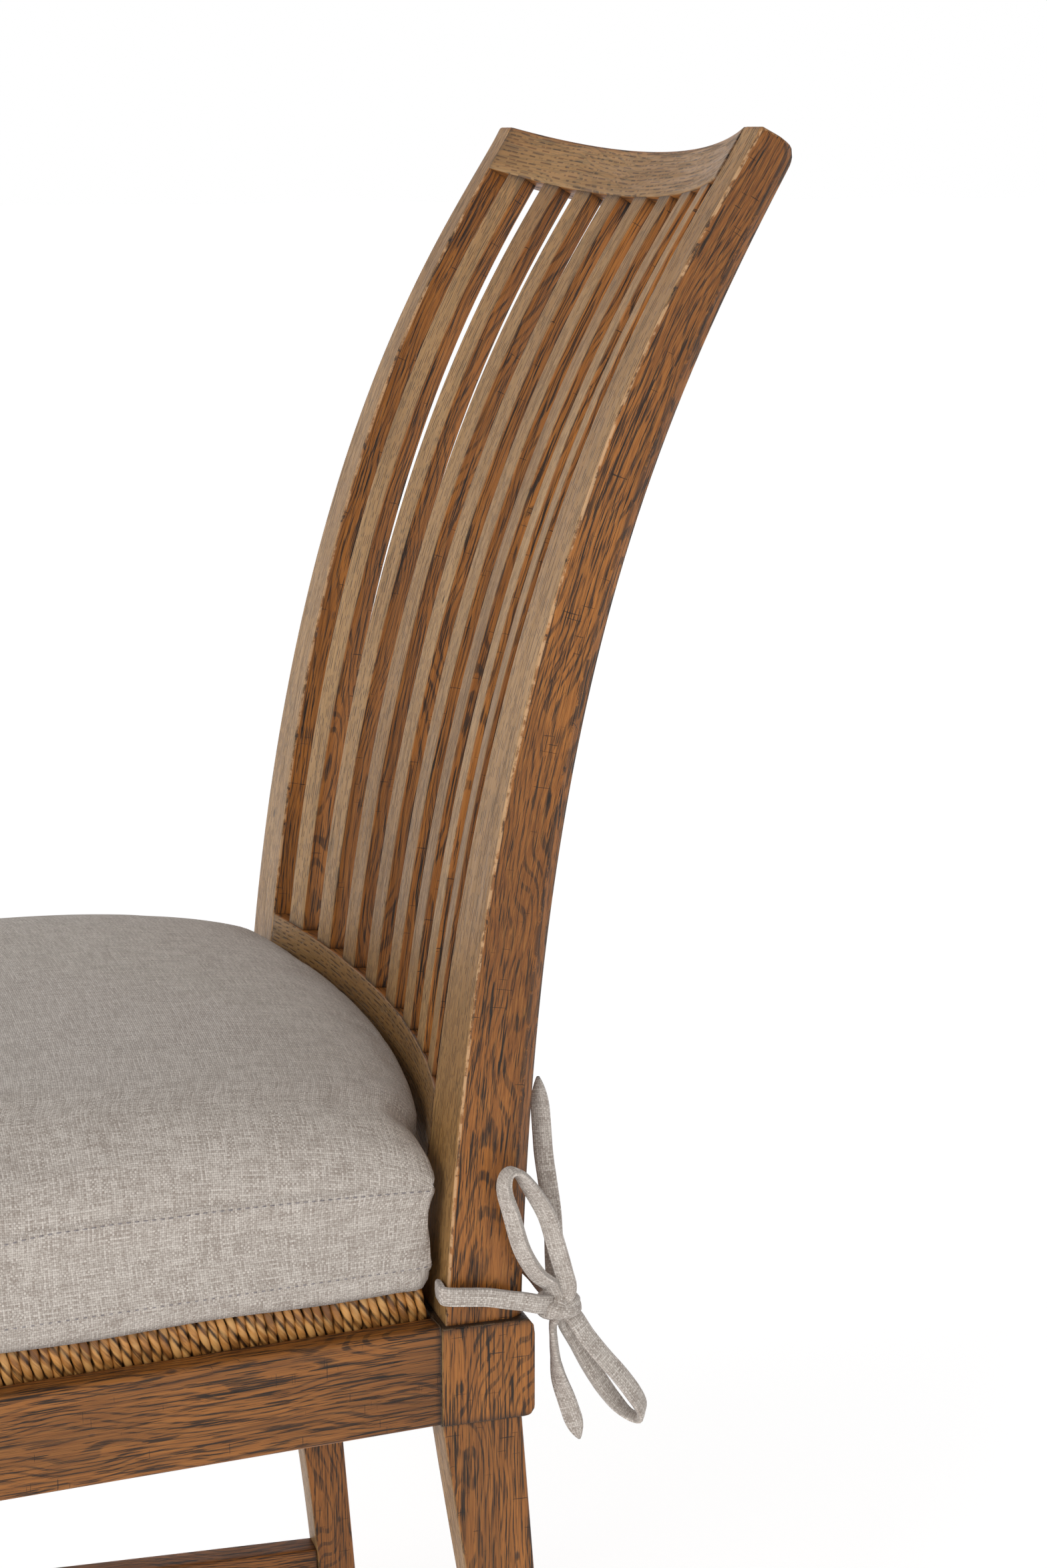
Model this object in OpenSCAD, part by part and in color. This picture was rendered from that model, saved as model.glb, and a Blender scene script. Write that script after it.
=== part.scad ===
// Oak dining side chair with a slatted, swept-back back, a drop-in rush seat
// and a tied box cushion. Millimetres, +Z up, floor at z = 0, the chair faces -Y.

/* [Overall] */
// Height of the rear posts above the floor
overall_h = 1000; // [970:5:1040]
// Height of the top of the seat rails above the floor
seat_h = 445; // [430:5:455]
// Width over the rear posts at seat height
rear_w = 444; // [430:2:460]
// Width over the front legs
front_w = 500; // [480:2:520]
// From the front of the front legs to the front of the rear posts
seat_d = 394; // [370:2:410]

/* [Rear posts] */
// How far the top of a post sweeps back from its foot at seat height
sweep = 161; // [130:1:180]
// Front-to-back depth of a post at seat height
post_depth = 40; // [36:1:44]
// Front-to-back depth of a post at its top
post_top_depth = 26; // [22:1:30]
// Thickness across the chair at seat height
post_thick = 52; // [46:1:56]
// Thickness across the chair at the top
post_top_thick = 21; // [18:1:26]
// How far the outer face leans in from seat height to the top
post_lean_in = 21; // [12:1:26]
// Front-to-back depth of the square block at seat height
block_depth = 46; // [44:1:50]
// Thickness of the rear leg across the chair
leg_thick = 25; // [22:1:30]
// Depth of the rear leg at the floor
foot_depth = 24; // [20:1:30]
// How far the rear foot stands behind the block's front face
foot_back = 46; // [36:1:52]

/* [Back] */
// Height of the crest rail, measured along the sloping post
crest_h = 27; // [24:1:34]
// Thickness of the crest rail
crest_t = 18; // [16:1:20]
// How far the crest rail bows backwards at its middle
crest_bow = 24; // [16:1:28]
// Height of the lower back rail
lower_h = 46; // [40:1:52]
// Thickness of the lower back rail
lower_t = 20; // [18:1:22]
// Top of the lower back rail above the top of the seat rails
lower_z = 102; // [96:1:108]
// How far the lower back rail bows backwards at its middle
lower_bow = 19; // [12:1:24]
// Number of back slats
slats = 8; // [8:1:8]
// Width of a slat
slat_w = 20; // [18:1:22]
// Thickness of a slat at its foot
slat_t = 13.5; // [10:0.5:15]
// Thickness of a slat at its top
slat_top_t = 8.5; // [8:0.5:10]

/* [Seat frame] */
// Height of the seat rails
rail_h = 50; // [46:1:54]
// Thickness of the seat rails
rail_t = 27; // [25:1:30]
// Width of the ledge left outside the rebate
ledge_w = 14; // [12:1:15]
// Depth of the rebate that the drop-in seat lies in
rebate_d = 10; // [8:1:12]
// Width of a front leg at the top
front_leg_w = 44; // [40:1:46]
// Width of a front leg at the floor
front_foot_w = 30; // [26:1:34]
// Top of the stretchers above the floor
stretcher_z = 120; // [100:5:150]
// Height of the stretchers
stretcher_h = 28; // [24:1:32]
// Thickness of the stretchers
stretcher_t = 18; // [16:1:20]

/* [Rush seat] */
// Overall thickness of the drop-in seat at its edges
rush_t = 31; // [29:1:34]
// Height of the wooden bars inside the rush
bar_h = 20; // [18:1:20]
// Width of the wooden bars inside the rush
bar_w = 36; // [30:1:40]

/* [Cushion] */
// Height of the boxing strip around the cushion
box_h = 50; // [44:1:54]
// Rise of the crowned top above the boxing strip
crown_h = 42; // [30:1:44]
// Thickness of the cover cloth with its lining
cover_t = 2; // [1:0.5:3]

/* [Ties] */
// Width of the tie tape
tape_w = 9; // [8:0.5:10]
// Thickness of the tie tape
tape_t = 3; // [2:0.5:4]

/* [Hidden] */

oak = [0.56, 0.37, 0.21];
pale_oak = [0.68, 0.55, 0.40];
rush_gold = [0.72, 0.52, 0.26];
linen = [0.74, 0.70, 0.65];
foam = [0.93, 0.90, 0.80];
steel = [0.70, 0.70, 0.72];
nylon = [0.20, 0.18, 0.16];

// Frame positions
rail_z = seat_h - rail_h;
stile_h = overall_h - rail_z;
post_out = rear_w / 2 - 1.5;
post_in = post_out - post_thick + 0.5;
top_out = post_out - post_lean_in;
top_in = top_out - post_top_thick;
splay = atan((front_w / 2 - post_out) / seat_d);
glide_h = 4;
top_round = 7;

// Joinery: tenon thickness, tenon depth and the glue gap around each tenon
tenon_t = 9;
tenon_d = 24;
glue = 0.1;

// ---- curves ----------------------------------------------------------

function bez(p, t) = pow(1 - t, 3) * p[0] + 3 * pow(1 - t, 2) * t * p[1]
                   + 3 * (1 - t) * t * t * p[2] + pow(t, 3) * p[3];
function bez_line(p, n) = [for (i = [0:n]) bez(p, i / n)];
// height at which a curve of [y, z] points is wanted, solved for its parameter by halving
function bez_t(p, z, lo = 0, hi = 1, k = 0) =
    k > 24 ? (lo + hi) / 2
    : bez(p, (lo + hi) / 2)[1] < z ? bez_t(p, z, (lo + hi) / 2, hi, k + 1)
    : bez_t(p, z, lo, (lo + hi) / 2, k + 1);
function bez_y(p, z) = bez(p, bez_t(p, z))[0];

// Post outlines from the side, as [y, z] from the block's lower front corner
stile_front = [[0, 0], [0.10 * sweep, 0.70 * stile_h],
               [0.84 * sweep, 0.915 * stile_h], [sweep, stile_h]];
stile_rear = [[post_depth, 0], [post_depth + 5.5, 0.56 * stile_h],
              [post_depth + 0.42 * sweep, 0.775 * stile_h],
              [sweep + post_top_depth, stile_h]];
leg_front = [[0, 0], [15, -0.28 * rail_z], [0.77 * foot_back, -0.5 * rail_z],
             [foot_back, -rail_z + glide_h]];

// slope from the vertical of the stile's front face at height z above the block's foot
function stile_lean(z) = atan((bez_y(stile_front, z + 1) - bez_y(stile_front, z - 1)) / 2);
function in_x(z) = post_in + (top_in - post_in) * z / stile_h;
function out_x(z) = post_out + (top_out - post_out) * z / stile_h;

crest_lean = stile_lean(stile_h - 0.85 * crest_h);
// depth of the posts' square-cut top, and the reach of the crest rail's bow behind the blocks' front
top_cut = post_top_depth * cos(crest_lean);
reach = sweep + (crest_bow + crest_t) * cos(crest_lean);
post_y = (seat_d - reach) / 2;
front_y = post_y - seat_d;
crest_half = in_x(stile_h - 14);
lower_top = lower_z + rail_h;
lower_lean = stile_lean(lower_top);
lower_half = in_x(lower_top - lower_h / 2);

// outline of a bar bowed to radius r over +-half, front face through [0, 0] at its ends
function bow_r(half, bow) = (half * half + bow * bow) / (2 * bow);
function bow_y(half, bow, x) =
    let (r = bow_r(half, bow)) sqrt(r * r - x * x) - sqrt(r * r - half * half);
function bow_outline(half, bow, t, n = 24) = concat(
    [for (i = [0:n]) let (x = -half + 2 * half * i / n) [x, bow_y(half, bow, x)]],
    [for (i = [n:-1:0]) let (x = -half + 2 * half * i / n) [x, bow_y(half, bow, x) + t]]);

// Local frames: x across the chair, y through the rail, z up along the sloping post
module crest_frame() {
    translate([0, post_y + sweep, rail_z + stile_h]) rotate([-crest_lean, 0, 0]) children();
}
module lower_frame() {
    translate([0, post_y + bez_y(stile_front, lower_top), rail_z + lower_top])
        rotate([-lower_lean, 0, 0]) children();
}

// ---- posts -----------------------------------------------------------

module extrude_x(from, to) {
    translate([from, 0, 0]) rotate([90, 0, 90]) linear_extrude(height = to - from) children();
}

module post_side() {
    along = [sin(crest_lean), cos(crest_lean)];
    across = [cos(crest_lean), -sin(crest_lean)];
    round_c = [sweep, stile_h] + (top_cut - top_round) * across - top_round * along;
    polygon(concat(
        [for (i = [16:-1:1]) bez(leg_front, i / 16)],
        bez_line(stile_front, 20),
        [for (a = [90:-15:0]) round_c + top_round * (cos(a) * across + sin(a) * along)],
        [for (i = [20:-1:0]) let (p = bez(stile_rear, i / 20)) if (p[1] < round_c[1] - 5) p],
        [[foot_back + foot_depth, -rail_z + glide_h]]));
}

module post_front() {
    polygon([[post_out, 0], [top_out, stile_h + 1], [top_in, stile_h + 1], [post_in, rail_h],
             [post_in, 0], [post_out - leg_thick, 0],
             [post_out - leg_thick + 3, -rail_z + glide_h], [post_out, -rail_z + glide_h]]);
}

module block_side() {
    r = 5;
    polygon(concat([[0, 0], [0, rail_h], [block_depth - 4, rail_h], [block_depth - 1, rail_h - 3],
                    [block_depth, rail_h - 8]],
        [for (a = [0:15:90]) [block_depth - r + r * cos(a), r - r * sin(a)]]));
}

module left_post() {
    color(oak) translate([0, post_y, rail_z]) difference() {
        union() {
            intersection() {
                extrude_x(post_in - 60, post_out + 1) post_side();
                rotate([90, 0, 0]) translate([0, 0, -sweep - 80])
                    linear_extrude(height = sweep + 200) post_front();
            }
            extrude_x(post_in, post_out + 1.5) block_side();
        }
        translate([0, -post_y, -rail_z]) {
            crest_tenon(1, glue);
            lower_tenon(1, glue);
            side_rail_tenon(glue);
            rear_rail_tenon(1, glue);
            side_stretcher_tenon(1, glue);
            glide_pin(rear_glide_pos, glue);
        }
    }
}

module rear_post_left() { left_post(); }
module rear_post_right() { mirror([1, 0, 0]) left_post(); }

// ---- crest rail and lower back rail ----------------------------------

module crest_tenon(side, grow = 0) {
    crest_frame() translate([side * (crest_half + 5), crest_t / 2, -crest_h / 2])
        cube([14 + 2 * grow, tenon_t + 2 * grow, crest_h - 10 + 2 * grow], center = true);
}

module lower_tenon(side, grow = 0) {
    lower_frame() translate([side * (lower_half + 7), lower_t / 2, -lower_h / 2])
        cube([26 + 2 * grow, tenon_t + 2 * grow, lower_h - 12 + 2 * grow], center = true);
}

module crest_rail() {
    color(pale_oak) difference() {
        union() {
            crest_frame() translate([0, 0, -crest_h]) linear_extrude(height = crest_h)
                polygon(bow_outline(crest_half - 0.6, crest_bow, crest_t));
            crest_tenon(1);
            crest_tenon(-1);
        }
        for (i = [1:slats]) slat_tenons(i, glue);
    }
}

module lower_back_rail() {
    color(oak) difference() {
        union() {
            lower_frame() translate([0, 0, -lower_h]) linear_extrude(height = lower_h)
                polygon(bow_outline(lower_half - 0.6, lower_bow, lower_t));
            lower_tenon(1);
            lower_tenon(-1);
        }
        for (i = [1:slats]) slat_tenons(i, glue);
    }
}

// ---- slats -----------------------------------------------------------

slat_tenon = 12;
slat_tenon_t = 5;
slat_rings = 16;
top_pitch = (2 * crest_half + slat_w) / (slats + 1);
low_pitch = (2 * lower_half + slat_w) / (slats + 1);
slat_end_z = stile_h - crest_h * cos(crest_lean);

function slat_low_x(i) = (i - (slats + 1) / 2) * low_pitch;
function slat_top_x(i) = (i - (slats + 1) / 2) * top_pitch;
function low_turn(i) = -asin(slat_low_x(i) / bow_r(lower_half, lower_bow));
function top_turn(i) = -asin(slat_top_x(i) / bow_r(crest_half, crest_bow));
function mix(a, b, k) = a + (b - a) * k;

// corner of a slat's section a fraction k of the way up, u across and t behind its front face;
// the section lies square to the posts' sweep and is turned along the rails' bow
function slat_point(i, k, u, t) =
    let (z = mix(lower_top + glue, slat_end_z - glue, k), lean = stile_lean(z),
         turn = mix(low_turn(i), top_turn(i), k),
         bow = mix(bow_y(lower_half, lower_bow, slat_low_x(i)),
                   bow_y(crest_half, crest_bow, slat_top_x(i)), k),
         back = bow + u * sin(turn) + t * cos(turn))
    [mix(slat_low_x(i), slat_top_x(i), k) + u * cos(turn) - t * sin(turn),
     post_y + bez_y(stile_front, z) + back * cos(lean), rail_z + z - back * sin(lean)];

module slat_tenons(i, grow = 0) {
    size = [slat_w - 6 + 2 * grow, slat_tenon_t + 2 * grow, slat_tenon + 4 + 2 * grow];
    lift = slat_tenon / 2 - 2;
    lower_frame() translate([slat_low_x(i), bow_y(lower_half, lower_bow, slat_low_x(i)), -lift])
        rotate([0, 0, low_turn(i)]) translate([0, slat_t / 2, 0]) cube(size, center = true);
    crest_frame() translate([slat_top_x(i), bow_y(crest_half, crest_bow, slat_top_x(i)), lift - crest_h])
        rotate([0, 0, top_turn(i)]) translate([0, slat_top_t / 2, 0]) cube(size, center = true);
}

module back_slat(i) {
    color(pale_oak) {
        polyhedron(
            points = [for (k = [0:slat_rings]) each
                let (f = k / slat_rings, t = mix(slat_t, slat_top_t, f), w = slat_w / 2)
                [slat_point(i, f, -w, 0), slat_point(i, f, w, 0),
                 slat_point(i, f, w, t), slat_point(i, f, -w, t)]],
            faces = concat([[0, 1, 2, 3], [for (c = [3:-1:0]) 4 * slat_rings + c]],
                           [for (k = [0:slat_rings - 1], c = [0:3])
                               [4 * k + c, 4 * (k + 1) + c, 4 * (k + 1) + (c + 1) % 4, 4 * k + (c + 1) % 4]]));
        slat_tenons(i);
    }
}

// ---- seat rails ------------------------------------------------------

rebate_z = seat_h - rebate_d;
// outer and inner faces of the left side rail at depth y
function rail_out(y) = front_w / 2 - 0.8 - (y - front_y) * tan(splay);
function rail_in(y) = rail_out(y) - rail_t / cos(splay);

module side_rail_tenon(grow = 0) {
    translate([rail_out(post_y) - 14 - grow, post_y - 2, rail_z + 8 - grow])
        cube([tenon_t + 2 * grow, tenon_d + 2 + grow, rail_h - 20 + 2 * grow]);
}
module side_rail_front_tenon(grow = 0) {
    y = front_y + front_leg_w;
    translate([rail_out(y) - 17 - grow, y - tenon_d - grow, rail_z + 8 - grow])
        cube([tenon_t + 2 * grow, tenon_d + 2 + grow, rail_h - 20 + 2 * grow]);
}

module left_side_rail() {
    y0 = front_y + front_leg_w;
    ledge = ledge_w / cos(splay);
    color(oak) {
        difference() {
            translate([0, 0, rail_z]) linear_extrude(height = rail_h)
                polygon([[rail_out(y0), y0], [rail_out(post_y), post_y],
                         [rail_in(post_y), post_y], [rail_in(y0), y0]]);
            translate([0, 0, rebate_z]) linear_extrude(height = rebate_d + 1)
                polygon([[rail_out(y0 - 1) - ledge, y0 - 1], [rail_out(post_y + 1) - ledge, post_y + 1],
                         [0, post_y + 1], [0, y0 - 1]]);
        }
        side_rail_tenon();
        side_rail_front_tenon();
    }
}

module side_rail_left() { screw_holes() left_side_rail(); }
module side_rail_right() { mirror([1, 0, 0]) screw_holes() left_side_rail(); }

rear_rail_t = 34;
module rear_rail_tenon(side, grow = 0) {
    translate([side * (post_in + 11), post_y + tenon_d + 9, rail_z + 22])
        cube([26 + 2 * grow, tenon_t + 2 * grow, 28 + 2 * grow], center = true);
}
module rear_rail() {
    color(oak) both_screw_holes() {
        difference() {
            translate([-post_in, post_y, rail_z]) cube([2 * post_in, rear_rail_t, rail_h]);
            translate([-post_in, post_y - 1, rebate_z]) cube([2 * post_in, ledge_w + 1, rebate_d + 1]);
        }
        rear_rail_tenon(1);
        rear_rail_tenon(-1);
    }
}

front_in = front_w / 2 - front_leg_w;
module front_rail_tenon(side, grow = 0) {
    translate([side * (front_in + 8), front_y + 12, rail_z + 22])
        cube([24 + 2 * grow, tenon_t + 2 * grow, 28 + 2 * grow], center = true);
}
module front_rail() {
    color(oak) both_screw_holes() {
        difference() {
            translate([-front_in, front_y + 2, rail_z]) cube([2 * front_in, rail_t, rail_h]);
            translate([-front_in, front_y + 2 + ledge_w, rebate_z]) cube([2 * front_in, rail_t, rebate_d + 1]);
        }
        front_rail_tenon(1);
        front_rail_tenon(-1);
    }
}

// ---- front legs ------------------------------------------------------

module left_front_leg() {
    w = front_leg_w;
    f = front_foot_w;
    drop = rail_z - 20;
    color(oak) difference() {
        intersection() {
            translate([0, front_y + w, 0]) rotate([90, 0, 0]) linear_extrude(height = w)
                polygon([[front_w / 2, glide_h], [front_w / 2, seat_h], [front_w / 2 - w, seat_h],
                         [front_w / 2 - w, drop], [front_w / 2 - f, glide_h]]);
            translate([front_w / 2 - w, 0, 0]) rotate([90, 0, 90]) linear_extrude(height = w)
                polygon([[front_y, glide_h], [front_y + f, glide_h], [front_y + w, drop],
                         [front_y + w, seat_h], [front_y, seat_h]]);
        }
        // the rebate for the seat runs across the leg's inner corner
        translate([0, front_y + 2 + ledge_w, rebate_z]) cube([front_w / 2 - ledge_w, w, rebate_d + 1]);
        side_rail_front_tenon(glue);
        front_rail_tenon(1, glue);
        side_stretcher_tenon(-1, glue);
        glide_pin(front_glide_pos, glue);
    }
}
module front_leg_left() { left_front_leg(); }
module front_leg_right() { mirror([1, 0, 0]) left_front_leg(); }

// ---- stretchers ------------------------------------------------------

stretch_mid = stretcher_z - stretcher_h / 2;
// centre line of the left side stretcher, from the front leg to the rear leg
stretch_front = [front_w / 2 - 17, front_y + 33];
stretch_rear = [post_out - leg_thick / 2 + 1, post_y + foot_back - 6];
stretch_dir = stretch_rear - stretch_front;
stretch_turn = -atan(stretch_dir[0] / stretch_dir[1]);
stretch_len = norm(stretch_dir);

module stretcher_frame() {
    translate([stretch_front[0], stretch_front[1], stretch_mid]) rotate([0, 0, stretch_turn]) children();
}
// end: -1 the front leg, 1 the rear leg
module side_stretcher_tenon(end, grow = 0) {
    stretcher_frame() translate([0, end < 0 ? -4 : stretch_len + 5, 0])
        cube([tenon_t + 2 * grow, 22 + 2 * grow, stretcher_h - 8 + 2 * grow], center = true);
}
module left_side_stretcher() {
    color(oak) difference() {
        union() {
            difference() {
                stretcher_frame() translate([-stretcher_t / 2, -8, -stretcher_h / 2])
                    cube([stretcher_t, stretch_len + 16, stretcher_h]);
                leg_room();
            }
            side_stretcher_tenon(-1);
            side_stretcher_tenon(1);
        }
        cross_tenon(1, glue);
    }
}
// space taken by the two legs that the side stretcher's shoulders are cut to
module leg_room() {
    translate([0, post_y, rail_z]) extrude_x(0, rear_w) polygon(concat(
        [for (i = [0:16]) bez(leg_front, i / 16) - [0.2, 0]],
        [[sweep, -rail_z], [sweep, 0]]));
    translate([front_w / 2, 0, 0]) rotate([90, 0, -90]) linear_extrude(height = front_w / 2)
        polygon([[-front_y, 0], [-front_y - front_foot_w, glide_h],
                 [-front_y - front_leg_w, rail_z - 20], [-front_y, rail_z - 20]]);
}
module side_stretcher_left() { left_side_stretcher(); }
module side_stretcher_right() { mirror([1, 0, 0]) left_side_stretcher(); }

cross_y = stretch_front[1] + 0.5 * stretch_dir[1];
cross_half = stretch_front[0] + 0.5 * stretch_dir[0] - stretcher_t / 2 - 0.4;
module cross_tenon(side, grow = 0) {
    translate([side * (cross_half + 5), cross_y, stretch_mid])
        cube([14 + 2 * grow, tenon_t + 2 * grow, stretcher_h - 10 + 2 * grow], center = true);
}
module cross_stretcher() {
    color(oak) {
        translate([-cross_half, cross_y - stretcher_t / 2, stretch_mid - stretcher_h / 2])
            cube([2 * cross_half, stretcher_t, stretcher_h]);
        cross_tenon(1);
        cross_tenon(-1);
    }
}

// ---- drop-in rush seat -----------------------------------------------

seat_gap = 1.5;
rush_z = rebate_z + 0.2;
// outline of the drop-in seat, drawn in by d from its edges
function seat_x(y, d) =
    front_w / 2 - 0.8 - (y - front_y) * tan(splay) - (ledge_w + seat_gap + d) / cos(splay);
function seat_outline(d) =
    let (f = front_y + 2 + ledge_w + seat_gap + d, r = post_y - seat_gap - d,
         b = post_y + ledge_w - seat_gap - d, n = post_in - seat_gap - d)
    [[-seat_x(f, d), f], [seat_x(f, d), f], [seat_x(r, d), r], [n, r], [n, b],
     [-n, b], [-n, r], [-seat_x(r, d), r]];

bar_z = rush_z + (rush_t - bar_h) / 2;
cord_t = (rush_t - bar_h) / 2;
bar_f = front_y + 2 + ledge_w + seat_gap + cord_t;
bar_b = post_y + ledge_w - seat_gap - cord_t;

module seat_bar_front() {
    color(pale_oak) translate([0, 0, bar_z]) linear_extrude(height = bar_h)
        polygon([[-seat_x(bar_f, cord_t), bar_f], [seat_x(bar_f, cord_t), bar_f],
                 [seat_x(bar_f + bar_w, cord_t), bar_f + bar_w],
                 [-seat_x(bar_f + bar_w, cord_t), bar_f + bar_w]]);
}
module seat_bar_rear() {
    half = post_in - seat_gap - cord_t;
    color(pale_oak) translate([-half, bar_b - bar_w, bar_z]) cube([2 * half, bar_w, bar_h]);
}
module left_seat_bar() {
    f = bar_f + bar_w + 0.1;
    r = post_y - seat_gap - cord_t;
    color(pale_oak) translate([0, 0, bar_z]) linear_extrude(height = bar_h)
        polygon([[seat_x(f, cord_t), f], [seat_x(r, cord_t), r],
                 [seat_x(r, cord_t) - bar_w, r], [seat_x(f, cord_t) - bar_w, f]]);
}
module seat_bar_left() {
    difference() {
        left_seat_bar();
        translate([0, bar_b - bar_w - 0.1, 0]) cube([post_in - seat_gap - cord_t + 0.1, 90, seat_h + 60]);
    }
}
module seat_bar_right() { mirror([1, 0, 0]) seat_bar_left(); }

module rush_half(lower) {
    split_z = rush_z + rush_t / 2;
    color(rush_gold) difference() {
        translate([0, 0, lower ? rush_z : split_z]) linear_extrude(height = rush_t / 2)
            polygon(seat_outline(0));
        translate([0, 0, bar_z - glue]) linear_extrude(height = bar_h + 2 * glue) difference() {
            polygon(seat_outline(cord_t - glue));
            polygon([[-seat_x(bar_f, cord_t) + bar_w, bar_f + bar_w + glue],
                     [seat_x(bar_f, cord_t) - bar_w - glue, bar_f + bar_w + glue],
                     [seat_x(bar_b - bar_w, cord_t) - bar_w - glue, bar_b - bar_w - glue],
                     [-seat_x(bar_b - bar_w, cord_t) + bar_w + glue, bar_b - bar_w - glue]]);
        }
    }
}
module rush_top() { rush_half(false); }
module rush_underside() { rush_half(true); }

// ---- corner blocks and their screws ----------------------------------

block_z = rail_z + 8;
block_t = 24;
screw_r = 2;
screw_len = 34;
head_r = 4;
// left screws as [head position, turn about Z of the way they point]
screw_spots = [
    [[rail_in(post_y - 24) - 20, post_y - 24, block_z + 8], 0],
    [[post_in - 22, post_y - 20, block_z + 16], 90],
    [[rail_in(front_y + 66) - 20, front_y + 66, block_z + 8], 0],
    [[front_in - 18, front_y + 2 + rail_t + 20, block_z + 16], -90]];

module screw_frame(spot) {
    translate(spot[0]) rotate([0, 0, spot[1]]) rotate([0, 90, 0]) children();
}
// cuts the left screws' pilot holes out of the children
module screw_holes() {
    difference() {
        children();
        for (spot = screw_spots) screw_frame(spot) cylinder(h = screw_len + 1, r = screw_r, $fn = 24);
    }
}
module both_screw_holes() {
    difference() {
        children();
        for (side = [0, 1], spot = screw_spots) mirror([side, 0, 0])
            screw_frame(spot) cylinder(h = screw_len + 1, r = screw_r, $fn = 24);
    }
}
module head_room() {
    for (spot = screw_spots) screw_frame(spot)
        translate([0, 0, -40]) cylinder(h = 40, r = head_r + 0.5, $fn = 24);
}

module block_rear_left() {
    color(pale_oak) screw_holes() difference() {
        translate([0, 0, block_z]) linear_extrude(height = block_t)
            polygon([[rail_in(post_y) - 0.2, post_y - 0.2], [rail_in(post_y - 60) - 0.2, post_y - 60],
                     [rail_in(post_y - 60) - 8, post_y - 60], [post_in - 52, post_y - 8],
                     [post_in - 52, post_y - 0.2]]);
        head_room();
    }
}
module block_front_left() {
    f = front_y + 2 + rail_t + 0.2;
    l = front_y + front_leg_w + 0.2;
    color(pale_oak) screw_holes() difference() {
        translate([0, 0, block_z]) linear_extrude(height = block_t)
            polygon([[front_in - 0.2, f], [front_in - 0.2, l], [rail_in(l) - 0.2, l],
                     [rail_in(l + 50) - 0.2, l + 50], [rail_in(l + 50) - 8, l + 50],
                     [front_in - 56, f + 8], [front_in - 56, f]]);
        head_room();
    }
}
module corner_block_front_left() { block_front_left(); }
module corner_block_front_right() { mirror([1, 0, 0]) block_front_left(); }
module corner_block_rear_left() { block_rear_left(); }
module corner_block_rear_right() { mirror([1, 0, 0]) block_rear_left(); }

module corner_screws() {
    color(steel) for (side = [0, 1], spot = screw_spots) mirror([side, 0, 0]) screw_frame(spot) {
        cylinder(h = screw_len, r = screw_r - 0.05, $fn = 24);
        translate([0, 0, -3]) cylinder(h = 3, r = head_r, $fn = 24);
    }
}

// ---- foot glides -----------------------------------------------------

rear_glide_pos = [post_out - leg_thick / 2 + 1.5, post_y + foot_back + foot_depth / 2];
front_glide_pos = [(front_w - front_foot_w) / 2, front_y + front_foot_w / 2];
glide_r = 9;
pin_r = 1.5;
pin_len = 16;

module glide_pin(pos, grow = 0) {
    translate([pos[0], pos[1], glide_h - 1]) cylinder(h = pin_len + grow, r = pin_r + grow / 2, $fn = 24);
}
module foot_glides() {
    color(nylon) for (side = [0, 1], pos = [rear_glide_pos, front_glide_pos]) mirror([side, 0, 0]) {
        translate([pos[0], pos[1], 0]) cylinder(h = glide_h, r = glide_r, $fn = 48);
        glide_pin(pos);
    }
}

// ---- cushion ---------------------------------------------------------

cushion_over = 8;
cushion_lean = 5;
corner_cut = 7;
droop = 5;
cushion_z = rush_z + rush_t + 0.3;
seam_z = cushion_z + box_h;

// outline of the cushion drawn in by d: it overhangs the seat's front and sides, its rear
// edge is notched at the posts and bowed back along the lower back rail
function cushion_outline(d) =
    let (e = d - cushion_over, f = bar_f - cord_t - cushion_over + d, r = post_y - 1 - d,
         n = post_in - 3 - d, b = lower_bow - 7, c = corner_cut)
    concat([[-seat_x(f, e) + c, f], [seat_x(f, e) - c, f], [seat_x(f + c, e), f + c],
            [seat_x(r - c, e), r - c], [seat_x(r, e) - c, r], [n, r]],
           [for (i = [8:-1:-8]) [n * i / 8, post_y + 7 - d + b * (1 - i * i / 64)]],
           [[-n, r], [-seat_x(r, e) + c, r], [-seat_x(r - c, e), r - c], [-seat_x(f + c, e), f + c]]);

module slab(z, h, d, back = 0) {
    translate([0, back, z]) linear_extrude(height = h) polygon(cushion_outline(d));
}
// crowned solid on top of the boxing strip, drawn in by d and leaning back with the posts
module crown(d) {
    hull() {
        slab(seam_z, 0.5, d);
        slab(seam_z + crown_h * 0.4 - d, 0.5, 6 + d, cushion_lean);
        slab(seam_z + crown_h * 0.63 - d, 0.5, 16 + d, 2 * cushion_lean);
        slab(seam_z + crown_h * 0.85 - d, 0.5, 36 + d, 2 * cushion_lean);
        slab(seam_z + crown_h - 0.5 - d, 0.5, 80 + d);
    }
}
module cushion_top() {
    color(linen) difference() {
        crown(0);
        translate([0, 0, -0.1]) crown(cover_t);
    }
}
module cushion_boxing() {
    color(linen) difference() {
        slab(cushion_z + cover_t, box_h - cover_t, 0);
        slab(cushion_z, box_h + 1, cover_t);
    }
}
module cushion_base() {
    color(linen) {
        slab(cushion_z, cover_t, 0);
        // the overhanging edge droops past the seat's rounded edge
        translate([0, 0, cushion_z - droop]) linear_extrude(height = droop + 0.1) difference() {
            polygon(cushion_outline(0));
            polygon(seat_outline(-seat_gap));
        }
    }
}
module cushion_foam() {
    color(foam) {
        slab(cushion_z + cover_t, box_h - cover_t + 0.2, cover_t + 0.2);
        crown(cover_t + 0.3);
    }
}

// ---- ties ------------------------------------------------------------

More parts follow.
